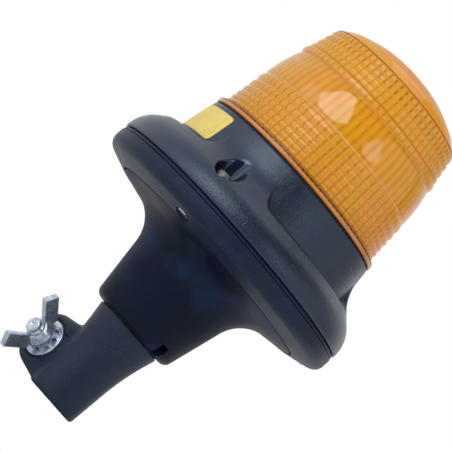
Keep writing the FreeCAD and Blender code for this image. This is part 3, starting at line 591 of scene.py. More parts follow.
def lens_painted_shade(finish, belly):
    """Where painted shade deepens the amber: where flutes meet, in streaks, and at the edges of bands."""
    lower_rings = finish.ring_count(LOWER_RING_START, LOWER_RING_END, LOWER_RINGS, LOWER_RING_GROWTH)
    upper_rings = finish.ring_count(MIDDLE_RING_END, UPPER_RING_END, UPPER_RINGS)
    is_upper = finish.maths("GREATER_THAN", finish.height, BELLY_TOP_H)
    is_lower = finish.between(LOWER_RING_END - BLEND / 2, LOWER_RING_END, 1.0, 0.0)
    valley = finish.near_whole(finish.mixed(is_upper, lower_rings, upper_rings), VALLEY_WIDTH)
    gap = finish.between(DOTTED_RING_START, DOTTED_RING_START + BLEND, VALLEY_GAP, DOTTED_GAP)
    unbroken = finish.maths("SUBTRACT", 1.0, finish.product(valley, gap))
    sway = finish.product(finish.maths("PINGPONG", lower_rings, 0.5), is_lower, RING_SWAY)
    flutes = finish.maths("ADD", finish.product(finish.turn, FLUTES / math.tau), sway)
    strength = finish.by_height(
        (LENS_FLANGE_T, 0.0), (LOWER_RING_START, LOWER_LINES), (LOWER_RING_END - BLEND, LOWER_LINES),
        (LOWER_RING_END, BELLY_LINES), (BELLY_LINES_END_H, BELLY_LINES), (BELLY_TOP_H, MIDDLE_LINES),
        (DOTTED_RING_START, MIDDLE_LINES), (DOTTED_RING_START + BLEND, DOTTED_LINES),
        (UPPER_RING_END - BLEND, DOTTED_LINES), (UPPER_RING_END, 0.0))
    strokes = finish.product(finish.near_whole(flutes, JOINT_WIDTH), strength, unbroken)
    uneven = finish.noise(STREAK_SCALE, detail=2.0, stretch=STREAK_STRETCH)
    uneven = finish.spread(uneven, *STREAK_RANGE, *STREAK_STRENGTH)
    streaks = finish.product(finish.near_whole(flutes, STREAK_WIDTH), uneven, belly)
    braid = finish.near_whole(finish.product(flutes, 2.0), BRAID_WIDTH)
    braid = finish.product(braid, is_lower, unbroken, BRAID_STRENGTH)
    depth = finish.maths("MAXIMUM", strokes, finish.maths("MAXIMUM", streaks, braid))
    for level, line in EDGE_LINES:
        edge = finish.near_level(level, EDGE_LINE_CORE, EDGE_LINE_REACH, line)
        depth = finish.maths("MAXIMUM", depth, edge)
    return depth


def lens_flange(finish):
    """Colours of the flange: painted shade under it, a painted highlight on its rounded edge and top, and
    above it a groove of painted shade with a row of darker painted shadow dashes.
    """
    bands = finish.by_height(
        (0.0, FLANGE_UNDER_SHADE), (FLANGE_EDGE_H, FLANGE_EDGE_HIGHLIGHT), (FLANGE_TOP_H, FLANGE_TOP_HIGHLIGHT),
        (GROOVE_H, FLANGE_GROOVE_SHADE), (LENS_FLANGE_T, FLANGE_GROOVE_SHADE), (LOWER_RING_START, FLANGE_ABOVE))
    # Painted shadow dashes in the groove above the flange
    shadow_dash = finish.near_whole(finish.product(finish.turn, FLANGE_DASHES / math.tau), DASH_WIDTH)
    shadow_dash = finish.product(shadow_dash, finish.near_level(DASH_H, DASH_CORE, DASH_REACH))
    return finish.mixed(shadow_dash, bands, FLANGE_SHADOW_DASH)


def amber_plastic():
    """Amber plastic of the lens, with painted shade along its flutes, rings and flange, and painted
    highlights on the flange and along the top of the lower rings.
    """
    finish = LensFinish("amber_plastic")
    belly = finish.by_height((LOWER_RING_END - BLEND, 0.0), (LOWER_RING_END, 1.0),
                             (BELLY_TOP_H, 1.0), (BELLY_TOP_H + BLEND, 0.0))
    cloud = finish.noise(AMBER_CLOUD, detail=2.0)
    clear = finish.shades(cloud, (NOISE_LOW, AMBER_YELLOW), (NOISE_HIGH, AMBER_WARM))
    at_flange = finish.between(FLANGE_FADE_H, LOWER_RING_START, 1.0, 0.0)
    at_crown = finish.between(UPPER_RING_END, LENS_TOP_H, 0.0, CROWN_SHARE)
    body = finish.mixed(at_crown, finish.mixed(at_flange, clear, lens_flange(finish)), AMBER_CROWN)
    is_dotted = finish.between(DOTTED_RING_START, DOTTED_RING_START + BLEND)
    # Deeper amber for the painted shade lines, deepest in the dotted rings
    shade_amber = finish.mixed(is_dotted, AMBER_SHADE, AMBER_DOT_SHADE)
    # A painted highlight line along the top edge of the lower rings
    highlight_line = finish.near_level(HIGHLIGHT_LINE_H, EDGE_LINE_CORE, HIGHLIGHT_LINE_REACH, HIGHLIGHT_LINE_STRENGTH)
    colour = finish.mixed(lens_painted_shade(finish, belly), body, shade_amber)
    finish.feed("Base Color", finish.mixed(highlight_line, colour, AMBER_HIGHLIGHT))
    ringed = finish.product(finish.maths("SUBTRACT", 1.0, belly), RING_SOFTNESS)
    finish.feed("Normal", finish.upright_normal(ringed))
    finish.feed("Roughness", finish.by_band(lower=0.24, belly=0.1, upper=0.3, crown=0.12))
    finish.feed("Specular IOR Level", finish.by_band(lower=0.45, belly=0.72, upper=0.4, crown=0.8))
    finish.set(IOR=1.49, Transmission_Weight=0.5)
    return finish.material


PLAIN_GLOSS = 0.07


def plain_finish(name, first, second, roughness, scale, metallic=0.0):
    """A plain finish: two near shades and a slightly uneven gloss."""
    finish = Finish(name)
    cloud = finish.noise(scale, detail=4.0)
    finish.feed("Base Color", finish.shades(cloud, (NOISE_LOW, first), (NOISE_HIGH, second)))
    gloss = finish.spread(cloud, NOISE_LOW, NOISE_HIGH, roughness - PLAIN_GLOSS, roughness + PLAIN_GLOSS)
    finish.feed("Roughness", gloss)
    finish.bump(cloud, strength=0.1, distance=0.05)
    finish.set(Metallic=metallic)
    return finish.material


housing_plastic = moulded_plastic("housing_plastic", linear(11, 16, 30), linear(18, 26, 44), roughness=0.3,
                                  grain=1500, depth=0.3, shine=0.85, wells=screw_points())
base_plastic = moulded_plastic("base_plastic", linear(15, 21, 37), linear(24, 32, 52), roughness=0.4,
                               grain=1700, depth=0.22, shine=0.25)
socket_plastic = moulded_plastic("socket_plastic", linear(18, 24, 40), linear(27, 35, 54), roughness=0.44,
                                 grain=1400, depth=0.08, shine=0.4)
neck_finish = neck_rubber()
zinc = zinc_plate()
amber = amber_plastic()
seal_rubber = plain_finish("seal_rubber", linear(6, 7, 10), linear(11, 12, 17), roughness=0.75, scale=300)
dull_steel = plain_finish("dull_steel", linear(96, 95, 96), linear(132, 130, 130),
                          roughness=0.45, scale=900, metallic=0.8)
label_yellow = plain_finish("label_yellow", linear(216, 189, 92), linear(228, 202, 106),
                            roughness=0.45, scale=260)
brass = plain_finish("brass", linear(186, 150, 84), linear(208, 172, 104),
                     roughness=0.34, scale=400, metallic=0.95)
insulator = plain_finish("insulator", linear(196, 190, 174), linear(212, 206, 190), roughness=0.5, scale=300)
board_mask = plain_finish("board_mask", linear(222, 222, 214), linear(236, 236, 228),
                          roughness=0.4, scale=500)
aluminium = plain_finish("aluminium", linear(186, 188, 192), linear(206, 208, 212),
                         roughness=0.36, scale=600, metallic=0.95)
led_resin = plain_finish("led_resin", linear(232, 196, 92), linear(244, 214, 120), roughness=0.25, scale=700)
lead_sheath = plain_finish("lead_sheath", linear(122, 30, 26), linear(140, 38, 32), roughness=0.45, scale=500)
copper = plain_finish("copper", linear(168, 92, 56), linear(190, 110, 70),
                      roughness=0.36, scale=800, metallic=0.9)

# Finishes of the frame's nodes; the rest are zinc
CAD_FINISHES = {
    "pole_socket": socket_plastic, "socket_nut": socket_plastic, "neck_cone": neck_finish,
    "base_ring": base_plastic, "upper_housing": housing_plastic, "lens": amber,
    "neck_seal": seal_rubber, "base_gasket": seal_rubber, "lens_seal": seal_rubber,
    "contact_carrier": insulator, "terminal_block": insulator, "contact_pin": brass,
    "contact_terminal": brass, "earth_ring": brass, "board_spacers": brass,
    "main_board": board_mask, "led_strips": board_mask, "led_post": aluminium,
    "housing_screws": dull_steel, "capacitors": aluminium, "led_emitters": led_resin,
    "power_leads": lead_sheath, "choke": copper}

for node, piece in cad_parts.items():
    piece.data.materials.clear()
    piece.data.materials.append(CAD_FINISHES.get(node, zinc))


# Pieces that stand for nodes of the frame
def copy_of(node):
    """A loose copy of a node's mesh, for reshaping."""
    piece = bpy.data.objects.new(node + "_shown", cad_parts[node].data.copy())
    bpy.context.scene.collection.objects.link(piece)
    return weld(piece)


def show(piece, body, slot, finish, *nodes):
    """Gives a piece its finish and its body, and hides the nodes that it stands for."""
    piece.data.materials.clear()
    piece.data.materials.append(finish)
    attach(piece, body)
    if nodes:
        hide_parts(*nodes)
    return piece


# Lens
def scallops(count, start, end, growth=1.0):
    """Points of a stack of round ribs down from one (radius, height) of their crests to another."""
    widths = [growth ** index for index in range(count)]
    points = []
    for step in range(count * POINTS_PER_RING + 1):
        whole, part = divmod(count * POINTS_PER_RING - step, POINTS_PER_RING)
        part /= POINTS_PER_RING
        bulge = RING_DEPTH * 4 * part * (1 - part)
        risen = (sum(widths[:whole]) + part * growth ** whole) / sum(widths)
        crest = end.lerp(start, risen)
        points.append(Vector((crest.x - RING_DEPTH + bulge, crest.y)))
    return points


def lens_outside(base_z, top_z, flange_r):
    """The lens's outer line, from the middle of its crown down to the end of its skirt."""
    lower_r = flange_r - LOWER_RING_INSET
    foot_r = lower_r - BELLY_FOOT_INSET
    shoulder_r = foot_r - BELLY_TAPER
    upper_r = shoulder_r + MIDDLE_RING_RISE - UPPER_RING_INSET
    edge_r = upper_r - UPPER_RING_TAPER
    corner_r = edge_r - CROWN_CORNER_INSET
    corner_z = top_z - CROWN_DROP - CROWN_CORNER_DROP
    crown = rounded([
        (0, top_z), (corner_r - CROWN_INSET, top_z - CROWN_DROP, LENS_WIDE_ROUND),
        (corner_r, corner_z, LENS_CORNER_ROUND), (edge_r - RING_DEPTH / 2, base_z + UPPER_RING_END),
        (0, base_z)], steps=12)[:-1]
    upper = scallops(UPPER_RINGS, Vector((edge_r, base_z + UPPER_RING_END)),
                     Vector((upper_r, base_z + MIDDLE_RING_END)))
    middle = scallops(1, Vector((shoulder_r + MIDDLE_RING_RISE, base_z + MIDDLE_RING_END)),
                      Vector((shoulder_r + MIDDLE_RING_RISE, base_z + BELLY_TOP_H)))
    belly = []
    for step in range(1, BELLY_ROWS):
        share = step / BELLY_ROWS
        radius = shoulder_r + (foot_r - shoulder_r) * share + BELLY_SAG * 4 * share * (1 - share)
        belly.append(Vector((radius, base_z + BELLY_TOP_H + (LOWER_RING_END - BELLY_TOP_H) * share)))
    lower = scallops(LOWER_RINGS, Vector((foot_r + RING_DEPTH / 2, base_z + LOWER_RING_END)),
                     Vector((lower_r, base_z + LOWER_RING_START)), LOWER_RING_GROWTH)
    flange_top = base_z + LENS_FLANGE_T
    skirt_r = flange_r - LENS_SKIRT_STEP
    skirt_z = bottom("lens")
    flange = rounded([
        (lower_r - RING_DEPTH, flange_top, FLANGE_INNER_ROUND), (flange_r, flange_top, FLANGE_TOP_ROUND),
        (flange_r, base_z, FLANGE_FOOT_ROUND), (skirt_r, base_z, SKIRT_ROUND),
        (skirt_r, skirt_z, SKIRT_ROUND), (skirt_r - LENS_WALL, skirt_z)], steps=6)[:-1]
    crown = spaced(crown, LENS_ROW, closed=False)
    flange = spaced(flange, LENS_ROW, closed=False)
    return crown + upper + middle + belly + lower + flange


def lens_inside(base_z, top_z, flange_r):
    """The lens's inner line from its skirt up to its crown, as (radius, height, share of the flutes)."""
    skirt_r = flange_r - LENS_SKIRT_STEP - LENS_WALL
    foot_r = flange_r - LOWER_RING_INSET - BELLY_FOOT_INSET - RING_DEPTH / 2 - LENS_WALL
    shoulder_r = foot_r - BELLY_TAPER - RING_DEPTH / 2
    edge_r = shoulder_r - UPPER_RING_TAPER
    corner_r = edge_r - CROWN_CORNER_INSET
    wall = rounded([
        (skirt_r, bottom("lens")), (skirt_r, base_z, LENS_CORNER_ROUND),
        (foot_r, base_z + LOWER_RING_END, LENS_WIDE_ROUND),
        (shoulder_r, base_z + MIDDLE_RING_END, LENS_WIDE_ROUND),
        (edge_r, base_z + UPPER_RING_END - LENS_WALL), (0, base_z)])[:-1]
    crown = rounded([
        (edge_r, base_z + UPPER_RING_END - LENS_WALL),
        (corner_r, top_z - CROWN_DROP - CROWN_CORNER_DROP - LENS_WALL, LENS_CORNER_ROUND),
        (corner_r - CROWN_INSET, top_z - CROWN_DROP - LENS_WALL, LENS_WIDE_ROUND),
        (0, top_z - LENS_WALL), (0, base_z)])[:-1]
    fluted = [(spot.x, spot.y, 1.0) for spot in spaced(wall, LENS_INNER_ROW, closed=False)]
    fluted[0] = (*fluted[0][:2], 0.0)
    return fluted + [(spot.x, spot.y, 0.0) for spot in spaced(crown, LENS_INNER_ROW, closed=False)[1:]]


def lens():
    """Amber lens: prism rings outside, and upright flutes on the inner wall."""
    base_z = top("lens_seal")
    top_z = top("lens")
    flange_r = reach("lens")
    rows = [(spot.x, spot.y, 0.0) for spot in lens_outside(base_z, top_z, flange_r)]
    rows += lens_inside(base_z, top_z, flange_r)
    columns = FLUTES * COLUMNS_PER_FLUTE
    points = []
    for radius, z, fluting in rows:
        for column in range(columns):
            across = 2 * (column / COLUMNS_PER_FLUTE % 1) - 1
            rib = FLUTE_DEPTH * fluting * math.sqrt(1 - across * across)
            points.append(polar(radius - rib, 360 * column / columns, z))
    piece = weld(mesh_object("lens_shown", points, grid_faces(len(rows), columns, False)))
    return show(smooth_faces(piece, angle=40), "beacon", "amber_lens", amber, "lens")


# Neck cone
NECK_COLLAR_R = 27.3
NECK_COLLAR_ROUND = 4.6
NECK_WAIST_R = 33.9
NECK_WAIST_H = 34.7
NECK_FILLET_R = 22.5
NECK_FLANGE_SLOPE = 0.2
NECK_FLANGE_T = 4.0
NECK_WALL = 4.2
NECK_FLOOR_T = 8.7
NECK_FLOOR_ROUND = 1.0
NOTCH_W = 6.0
NOTCH_DEPTH = 7.0
NOTCH_H = 7.4
STEM_HOLE_R = 15.7
SEAM = 0.5
SEAM_ROUND = 0.5
OUTLINE_SIDE = 3.0
CUT_PAST = 1.0


def block(name, low, high):
    """A box between two corners, for cutting."""
    spans = list(zip(low, high))
    points = [(x, y, z) for z in spans[2] for y in spans[1] for x in spans[0]]
    faces = [(0, 2, 3, 1), (4, 5, 7, 6), (0, 1, 5, 4), (2, 6, 7, 3), (0, 4, 6, 2), (1, 3, 7, 5)]
    return mesh_object(name, points, faces)


def neck_cone():
    """Flared rubber neck with the notch in its collar."""
    foot_z = bottom("neck_cone")
    top_z = top("neck_cone")
    flange_r = reach("neck_cone") - SEAM
    edge_z = top_z - NECK_FLANGE_T
    lean = (NECK_WAIST_R - NECK_COLLAR_R) / NECK_WAIST_H

    def meeting(inset):
        """Where the cone's wall, moved inwards by an inset, meets the slope of the flange."""
        level_z = edge_z - flange_r * NECK_FLANGE_SLOPE
        radius = NECK_COLLAR_R + (level_z - foot_z) * lean - inset
        radius /= 1 - lean * NECK_FLANGE_SLOPE
        return radius, edge_z - (flange_r - radius) * NECK_FLANGE_SLOPE

    inner = meeting(NECK_WALL)
    floor_z = foot_z + NECK_FLOOR_T
    floor_r = NECK_COLLAR_R + NECK_FLOOR_T * lean - NECK_WALL
    outline = rounded([
        (STEM_HOLE_R, foot_z), (NECK_COLLAR_R, foot_z, NECK_COLLAR_ROUND), (*meeting(0), NECK_FILLET_R),
        (flange_r, edge_z, SEAM_ROUND), (flange_r, top_z), (inner[0] + NECK_FILLET_R / 2, top_z, NECK_WALL),
        (*inner, NECK_FILLET_R / 2), (floor_r, floor_z, NECK_FLOOR_ROUND), (STEM_HOLE_R, floor_z)], steps=14)
    piece = lathe("neck_cone_shown", spaced(outline, OUTLINE_SIDE), segments=256)
    notch = block("notch", (NECK_COLLAR_R - NOTCH_DEPTH, -NOTCH_W / 2, foot_z - CUT_PAST),
                  (NECK_WAIST_R, NOTCH_W / 2, foot_z + NOTCH_H))
    combine(piece, [notch], "DIFFERENCE")
    return show(smooth_faces(piece), "beacon", "neck_rubber", neck_finish, "neck_cone")


# Base ring and gasket
BASE_PLATE_T = 4.0
BASE_SLOPE = 0.29
BASE_CORNER_R = 9.0
BASE_INNER_W = 24.5
BASE_CENTRE_HOLE_R = 20.0
BASE_TOP_ROUND = 0.3
NUT_POCKET_R = 4.8
NUT_HEADROOM = 1.0
GASKET_W = 22.0
GASKET_ROUND = 0.3
GROOVE_DEPTH = 2.0
LOWER_GROOVE_W = 0.35
UPPER_GROOVE_W = 0.75


def drum(name, radius, z0, z1, centre, segments=48):
    """A plain cylinder on end, for cutting."""
    piece = lathe(name, rounded([(0, z0), (radius, z0), (radius, z1), (0, z1)]), segments)
    piece.data.transform(Matrix.Translation(Vector((*centre, 0)) * MM))
    return piece


def base_ring():
    """Lower band of the housing, with the pockets for the nuts."""
    rim_r = reach("base_ring")
    seat_r = reach("neck_cone") + SEAM
    edge_z = bottom("base_ring")
    seat_z = top("neck_cone")
    plate_z = seat_z + BASE_PLATE_T
    top_z = top("base_ring")
    corner_z = edge_z + (rim_r - seat_r) * BASE_SLOPE
    outline = rounded([
        (seat_r, seat_z), (seat_r, edge_z, SEAM_ROUND), (rim_r, corner_z, BASE_CORNER_R),
        (rim_r, top_z, BASE_TOP_ROUND), (rim_r - BASE_INNER_W, top_z), (rim_r - BASE_INNER_W, plate_z),
        (BASE_CENTRE_HOLE_R, plate_z), (BASE_CENTRE_HOLE_R, seat_z)], steps=14)
    piece = lathe("base_ring_shown", spaced(outline, OUTLINE_SIDE), segments=288)
    ceiling = top("housing_nuts") + NUT_HEADROOM
    pockets = [drum("pocket", NUT_POCKET_R, edge_z - 2 * CUT_PAST, ceiling, point)
               for point in screw_points()]
    combine(piece, pockets, "DIFFERENCE")
    return show(smooth_faces(piece), "beacon", "housing_plastic", base_plastic, "base_ring")


def base_gasket():
    """Thin ring between the halves of the housing, with a dark groove on each side of it."""
    low, high = bottom("base_gasket"), top("base_gasket")
    rim_r = reach("base_gasket")
    back_r = rim_r - GROOVE_DEPTH
    lip_low, lip_high = low + LOWER_GROOVE_W, high - UPPER_GROOVE_W
    outline = rounded([
        (rim_r - GASKET_W, low), (back_r, low), (back_r, lip_low), (rim_r, lip_low, GASKET_ROUND),
        (rim_r, lip_high, GASKET_ROUND), (back_r, lip_high), (back_r, high),
        (rim_r - GASKET_W, high)], steps=4)
    piece = lathe("base_gasket_shown", outline, segments=288)
    return show(smooth_faces(piece), "beacon", "seal_rubber", base_plastic, "base_gasket")


# Upper housing, socket and clamp hardware
def housing():
    """Upper housing with its moulded edges softened."""
    piece = soften(copy_of("upper_housing"), voxel=0.75, rounds=5)
    return show(piece, "beacon", "housing_plastic", housing_plastic, "upper_housing")


def socket():
    """Pole socket with its moulded edges softened."""
    piece = soften(copy_of("pole_socket"), voxel=0.5, rounds=6)
    return show(piece, "beacon", "socket_plastic", socket_plastic, "pole_socket")


def on_bolt(piece):
    """Turns a piece made about Z on to the clamp bolt's axis, with +Z pointing to the wing nut."""
    low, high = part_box("flat_washer")
    middle = (low + high) / 2
    turn = Matrix.Translation((middle.x, 0, middle.z)) @ Matrix.Rotation(math.radians(90), 4, "X")
    piece.data.transform(turn)
    return piece


# Wing tips: each slopes inwards and up, and is cut lower towards the bolt
TIP_SLANT = 2.1
TIP_SLANT_INWARDS = 0.6
TIP_SLANT_DOWN = 0.8
TIP_WIDTH = 8.6
TIP_RUN = TIP_WIDTH * 0.71
TIP_CUT_T = 4.0
TIP_CUT_PAST = 3.0


def slant_cut(side, reach_out, rise):
    """A wedge that slants the tip of one wing; its point is the corner furthest from the bolt."""
    inner = (reach_out - TIP_RUN, rise + TIP_RUN)
    lowered = (inner[0] - TIP_SLANT * TIP_SLANT_INWARDS, inner[1] - TIP_SLANT * TIP_SLANT_DOWN)
    beyond = (reach_out + TIP_CUT_PAST, inner[1] + TIP_CUT_PAST)
    corners = [(reach_out, rise), lowered, (lowered[0], beyond[1]), beyond, (beyond[0], rise)]
    count = len(corners)
    points = [(side * x, side * across, z) for x in (-TIP_CUT_T, TIP_CUT_T) for across, z in corners]
    faces = [tuple(range(count)), tuple(range(2 * count - 1, count - 1, -1))]
    faces += [(spot, count + spot, count + (spot + 1) % count, (spot + 1) % count) for spot in range(count)]
    return on_bolt(mesh_object("slant", points, faces))


def wing_nut():
    """Wing nut with worn edges and slanted tips."""
    low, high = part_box("wing_nut")
    reach_out = (high.z - low.z) / 2 / MM
    rise = -low.y / MM - TIP_RUN
    cuts = [slant_cut(side, reach_out, rise) for side in (1, -1)]
    piece = combine(copy_of("wing_nut"), cuts, "DIFFERENCE")
    return show(soften(piece, voxel=0.28, rounds=14), "clamp_nut", "zinc_steel", zinc, "wing_nut")


# Clamp bolt; the nut's travel has a little room added
THREAD_PITCH = 1.25
THREAD_ROOT_R = 4.2
THREAD_CREST_R = 4.9
THREAD_CORE_R = 3.6
THREAD_STEPS = 10
THREAD_SEGMENTS = 48
END_LENGTH = 2.4
NUT_TRAVEL = 2.0
DENT_R = 1.6
DENT_DEPTH = 0.7
BALL_STEPS = 16


def thread(low, high):
    """The bolt's thread between two heights, as a tube with a spiral ridge."""
    count = math.ceil((high - low) / THREAD_PITCH * THREAD_STEPS)
    turns = [360 * column / THREAD_SEGMENTS for column in range(THREAD_SEGMENTS)]
    points = [polar(THREAD_CORE_R, turn, low) for turn in turns]
    for row in range(count + 1):
        z = low + (high - low) * row / count
        for turn in turns:
            ridge = abs(2 * ((z / THREAD_PITCH - turn / 360) % 1) - 1)
            radius = THREAD_ROOT_R + (THREAD_CREST_R - THREAD_ROOT_R) * ridge
            points.append(polar(radius, turn, z))
    points += [polar(THREAD_CORE_R, turn, high) for turn in turns]
    piece = weld(mesh_object("bolt_thread", points, grid_faces(count + 3, THREAD_SEGMENTS, True)))
    return show(smooth_faces(on_bolt(piece)), "beacon", "zinc_steel", zinc)


def ball(name, radius, z):
    """A plain ball on the axis, for cutting."""
    turns = [math.pi * step / BALL_STEPS for step in range(BALL_STEPS + 1)]
    arc = [Vector((radius * math.sin(turn), z - radius * math.cos(turn))) for turn in turns]
    return lathe(name, arc, segments=2 * BALL_STEPS)


def clamp_bolt():
    """The bolt with its thread past the toothed washer, and its end dented by a punch."""
    tip = -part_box("clamp_bolt")[0].y / MM
    thread(-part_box("lock_washer")[0].y / MM + NUT_TRAVEL, tip - END_LENGTH)
    dent = on_bolt(ball("dent", DENT_R, tip + DENT_R - DENT_DEPTH))
    piece = combine(copy_of("clamp_bolt"), [dent], "DIFFERENCE")
    return show(soften(piece, voxel=0.25, rounds=4), "beacon", "zinc_steel", zinc, "clamp_bolt")


# Plain washers
WASHER_BORE_R = 4.3
WASHER_EDGE_ROUND = 0.4
WASHER_FACE_ROUND = 0.6


def washer(node, body):
    """A stamped washer with its edges rounded over."""
    low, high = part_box(node)
    near, far = -high.y / MM, -low.y / MM
    outer = (high.x - low.x) / 2 / MM
    outline = rounded([
        (WASHER_BORE_R, near), (outer, near, WASHER_EDGE_ROUND), (outer, far, WASHER_FACE_ROUND),
        (WASHER_BORE_R, far, WASHER_EDGE_ROUND)], steps=5)
    piece = on_bolt(lathe(node + "_shown", outline, segments=96))
    return show(smooth_faces(piece), body, "zinc_steel", zinc, node)


def contact_spring():
    """Spring of the centre contact (in the real light it shortens as the contact is pressed in), shown as a
    copy with its own mesh.
    """
    piece = show(copy_of("contact_spring"), "beacon", "zinc_steel", zinc, "contact_spring")
    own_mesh(piece)


# Label in the window beside the front pillar
DRUM_TAPER = 0.153
LABEL_LEFT = -70.0
LABEL_RIGHT = -2.0
LABEL_LOW = 152.2
LABEL_HIGH = 170.8
LABEL_CORNER = 2.5
LABEL_T = 0.15
LABEL_COLUMNS = 160


def label():
    """Bare yellow label that lies on the tapered drum."""
    top_r, top_z = reach("lens"), bottom("lens_seal")
    length = math.radians(LABEL_RIGHT - LABEL_LEFT) * top_r
    points = []
    for column in range(LABEL_COLUMNS + 1):
        share = (1 - math.cos(math.pi * column / LABEL_COLUMNS)) / 2
        azimuth = LABEL_LEFT + (LABEL_RIGHT - LABEL_LEFT) * share
        to_end = max(0.0, LABEL_CORNER - length * min(share, 1 - share))
        cut = LABEL_CORNER - math.sqrt(LABEL_CORNER ** 2 - to_end ** 2)
        for z in (LABEL_LOW + cut, LABEL_HIGH - cut):
            radius = top_r + (top_z - z) * DRUM_TAPER
            points += [polar(radius, azimuth, z), polar(radius + LABEL_T, azimuth, z)]
    faces = [(0, 1, 3, 2)]
    for column in range(LABEL_COLUMNS):
        here, there = column * 4, column * 4 + 4
        faces += [(here + a, here + b, there + b, there + a) for a, b in ((0, 1), (1, 3), (3, 2), (2, 0))]
    last = LABEL_COLUMNS * 4
    faces.append((last, last + 2, last + 3, last + 1))
    piece = weld(mesh_object("label", points, faces))
    return show(smooth_faces(piece, angle=40), "beacon", "housing_plastic", label_yellow)


lens()
neck_cone()
base_ring()
base_gasket()
housing()
socket()
wing_nut()
clamp_bolt()
washer("flat_washer", "beacon")
washer("bolt_head_washer", "beacon")
contact_spring()
label()


# Camera at the photograph's viewing angle
PIXEL = 0.5418
FRAME_PIXELS = 452
VIEW_AZIMUTH = 46.0
VIEW_ELEVATION = -5.3
UP_ANGLE = 41.5
AIM_Z = 133.85
AIM_ASIDE = -13.9 * PIXEL
FLOOR_Z = -0.5


def photo_camera():
    """Camera at floor level that sees the upright light turned clockwise, from below its middle."""
    azimuth = math.radians(VIEW_AZIMUTH)
    elevation = math.radians(VIEW_ELEVATION)
    back = Vector((math.sin(azimuth) * math.cos(elevation), -math.cos(azimuth) * math.cos(elevation),
                   math.sin(elevation)))
    right = Vector((math.cos(azimuth), math.sin(azimuth), 0))
    upward = back.cross(right)
    tilt = math.radians(UP_ANGLE)
    image_right = upward * math.cos(tilt) + right * math.sin(tilt)
    image_up = upward * math.sin(tilt) - right * math.cos(tilt)
    aim = Vector((0, 0, AIM_Z)) + right * AIM_ASIDE
    distance = (FLOOR_Z - AIM_Z) / back.z
    data = bpy.data.cameras.new("camera")
    data.sensor_width = 36
    data.lens = data.sensor_width * distance / (FRAME_PIXELS * PIXEL)
    data.clip_start = 0.05
    data.clip_end = 100
    camera = bpy.data.objects.new("camera", data)
    bpy.context.scene.collection.objects.link(camera)
    turn = Matrix((image_right, image_up, back)).transposed()
    place = (aim + back * distance) * MM
    camera.matrix_world = Matrix.Translation(place) @ turn.to_4x4()
    bpy.context.scene.camera = camera
    return right, upward, back


view_right, view_up, view_back = photo_camera()


# Light and floor
BACKDROP_EDGE = 0.1
BACKDROP_BLUR = 0.35
STUDIO_LEVEL = 0.03
AMBIENT_LEVEL = 0.56
BACKDROP_SIDE = 0.68
BACKDROP_LEVEL = 0.85
LAMP_DISTANCE = 1.6
FLOOR_HALF = 3000.0
FLOOR_SCALE = 3
FLOOR_GREYS = ((0.84, 0.84, 0.84), (0.87, 0.87, 0.87))


def soft_box(name, azimuth, elevation, side, power, roll=0.0):
    """A square soft light that faces the middle of the object; its azimuth is counted from the camera."""
    data = bpy.data.lights.new(name, "AREA")
    data.energy = power
    data.size = side
    light = bpy.data.objects.new(name, data)
    bpy.context.scene.collection.objects.link(light)
    flat = math.cos(math.radians(elevation))
    direction = Vector(polar(flat, VIEW_AZIMUTH + azimuth, math.sin(math.radians(elevation))))
    place = Vector((0, 0, AIM_Z * MM)) + direction * LAMP_DISTANCE
    turn = direction.to_track_quat("Z", "Y").to_matrix() @ Matrix.Rotation(math.radians(roll), 3, "Z")
    light.matrix_world = Matrix.Translation(place) @ turn.to_4x4()


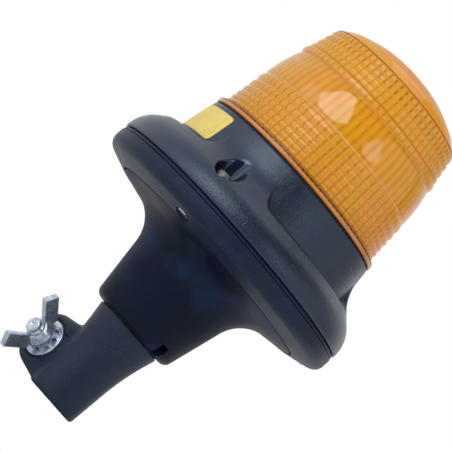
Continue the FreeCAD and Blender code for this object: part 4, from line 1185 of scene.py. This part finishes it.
def white_world():
    """White to the camera and through the lens; a white backdrop behind a dim studio for the rest."""
    world = bpy.data.worlds.new("world")
    bpy.context.scene.world = world
    world.use_nodes = True
    nodes, links = world.node_tree.nodes, world.node_tree.links

    def made(kind, **settings):
        """A node of the world with its settings."""
        node = nodes.new("ShaderNode" + kind)
        for name, value in settings.items():
            setattr(node, name, value)
        return node

    place = made("TexCoord")
    facing = made("VectorMath", operation="DOT_PRODUCT")
    links.new(place.outputs["Generated"], facing.inputs[0])
    facing.inputs[1].default_value = -(view_back + view_right * BACKDROP_SIDE).normalized()
    backdrop = made("MapRange", interpolation_type="SMOOTHSTEP")
    links.new(facing.outputs["Value"], backdrop.inputs["Value"])
    backdrop.inputs["From Min"].default_value = BACKDROP_EDGE - BACKDROP_BLUR
    backdrop.inputs["From Max"].default_value = BACKDROP_EDGE + BACKDROP_BLUR
    backdrop.inputs["To Min"].default_value = STUDIO_LEVEL
    backdrop.inputs["To Max"].default_value = BACKDROP_LEVEL
    path = made("LightPath")

    def by_ray(kind, value, otherwise):
        """A strength for one kind of ray, and another one for the rest."""
        choice = made("Mix")
        links.new(path.outputs[kind], choice.inputs[0])
        for socket, strength in ((choice.inputs[2], otherwise), (choice.inputs[3], value)):
            if isinstance(strength, float):
                socket.default_value = strength
            else:
                links.new(strength, socket)
        return choice.outputs[0]

    strength = by_ray("Is Glossy Ray", backdrop.outputs["Result"], AMBIENT_LEVEL)
    strength = by_ray("Is Transmission Ray", 1.0, strength)
    strength = by_ray("Is Camera Ray", 1.0, strength)
    light = nodes["Background"]
    light.inputs["Color"].default_value = (1, 1, 1, 1)
    links.new(strength, light.inputs["Strength"])


def pale_floor():
    """Wide pale floor under the object."""
    finish = Finish("floor")
    cloud = finish.noise(FLOOR_SCALE, detail=2.0)
    finish.feed("Base Color", finish.shades(cloud, (NOISE_LOW, FLOOR_GREYS[0]), (NOISE_HIGH, FLOOR_GREYS[1])))
    finish.set(Roughness=0.9)
    corners = [(-FLOOR_HALF, -FLOOR_HALF, 0), (FLOOR_HALF, -FLOOR_HALF, 0),
               (FLOOR_HALF, FLOOR_HALF, 0), (-FLOOR_HALF, FLOOR_HALF, 0)]
    floor = mesh_object("floor", corners, [(0, 1, 2, 3)])
    floor.location.z = FLOOR_Z * MM
    floor.data.materials.append(finish.material)


white_world()
pale_floor()
soft_box("key", azimuth=-36, elevation=27.5, side=0.92, power=9.8, roll=45)
soft_box("fill", azimuth=31, elevation=25, side=0.54, power=1.8, roll=45)
soft_box("side", azimuth=72, elevation=14, side=2.2, power=9.0)
soft_box("low", azimuth=-60, elevation=6, side=1.2, power=3.8)
soft_box("over", azimuth=0, elevation=88, side=1.0, power=3.0)

bpy.context.scene.view_settings.view_transform = "Standard"
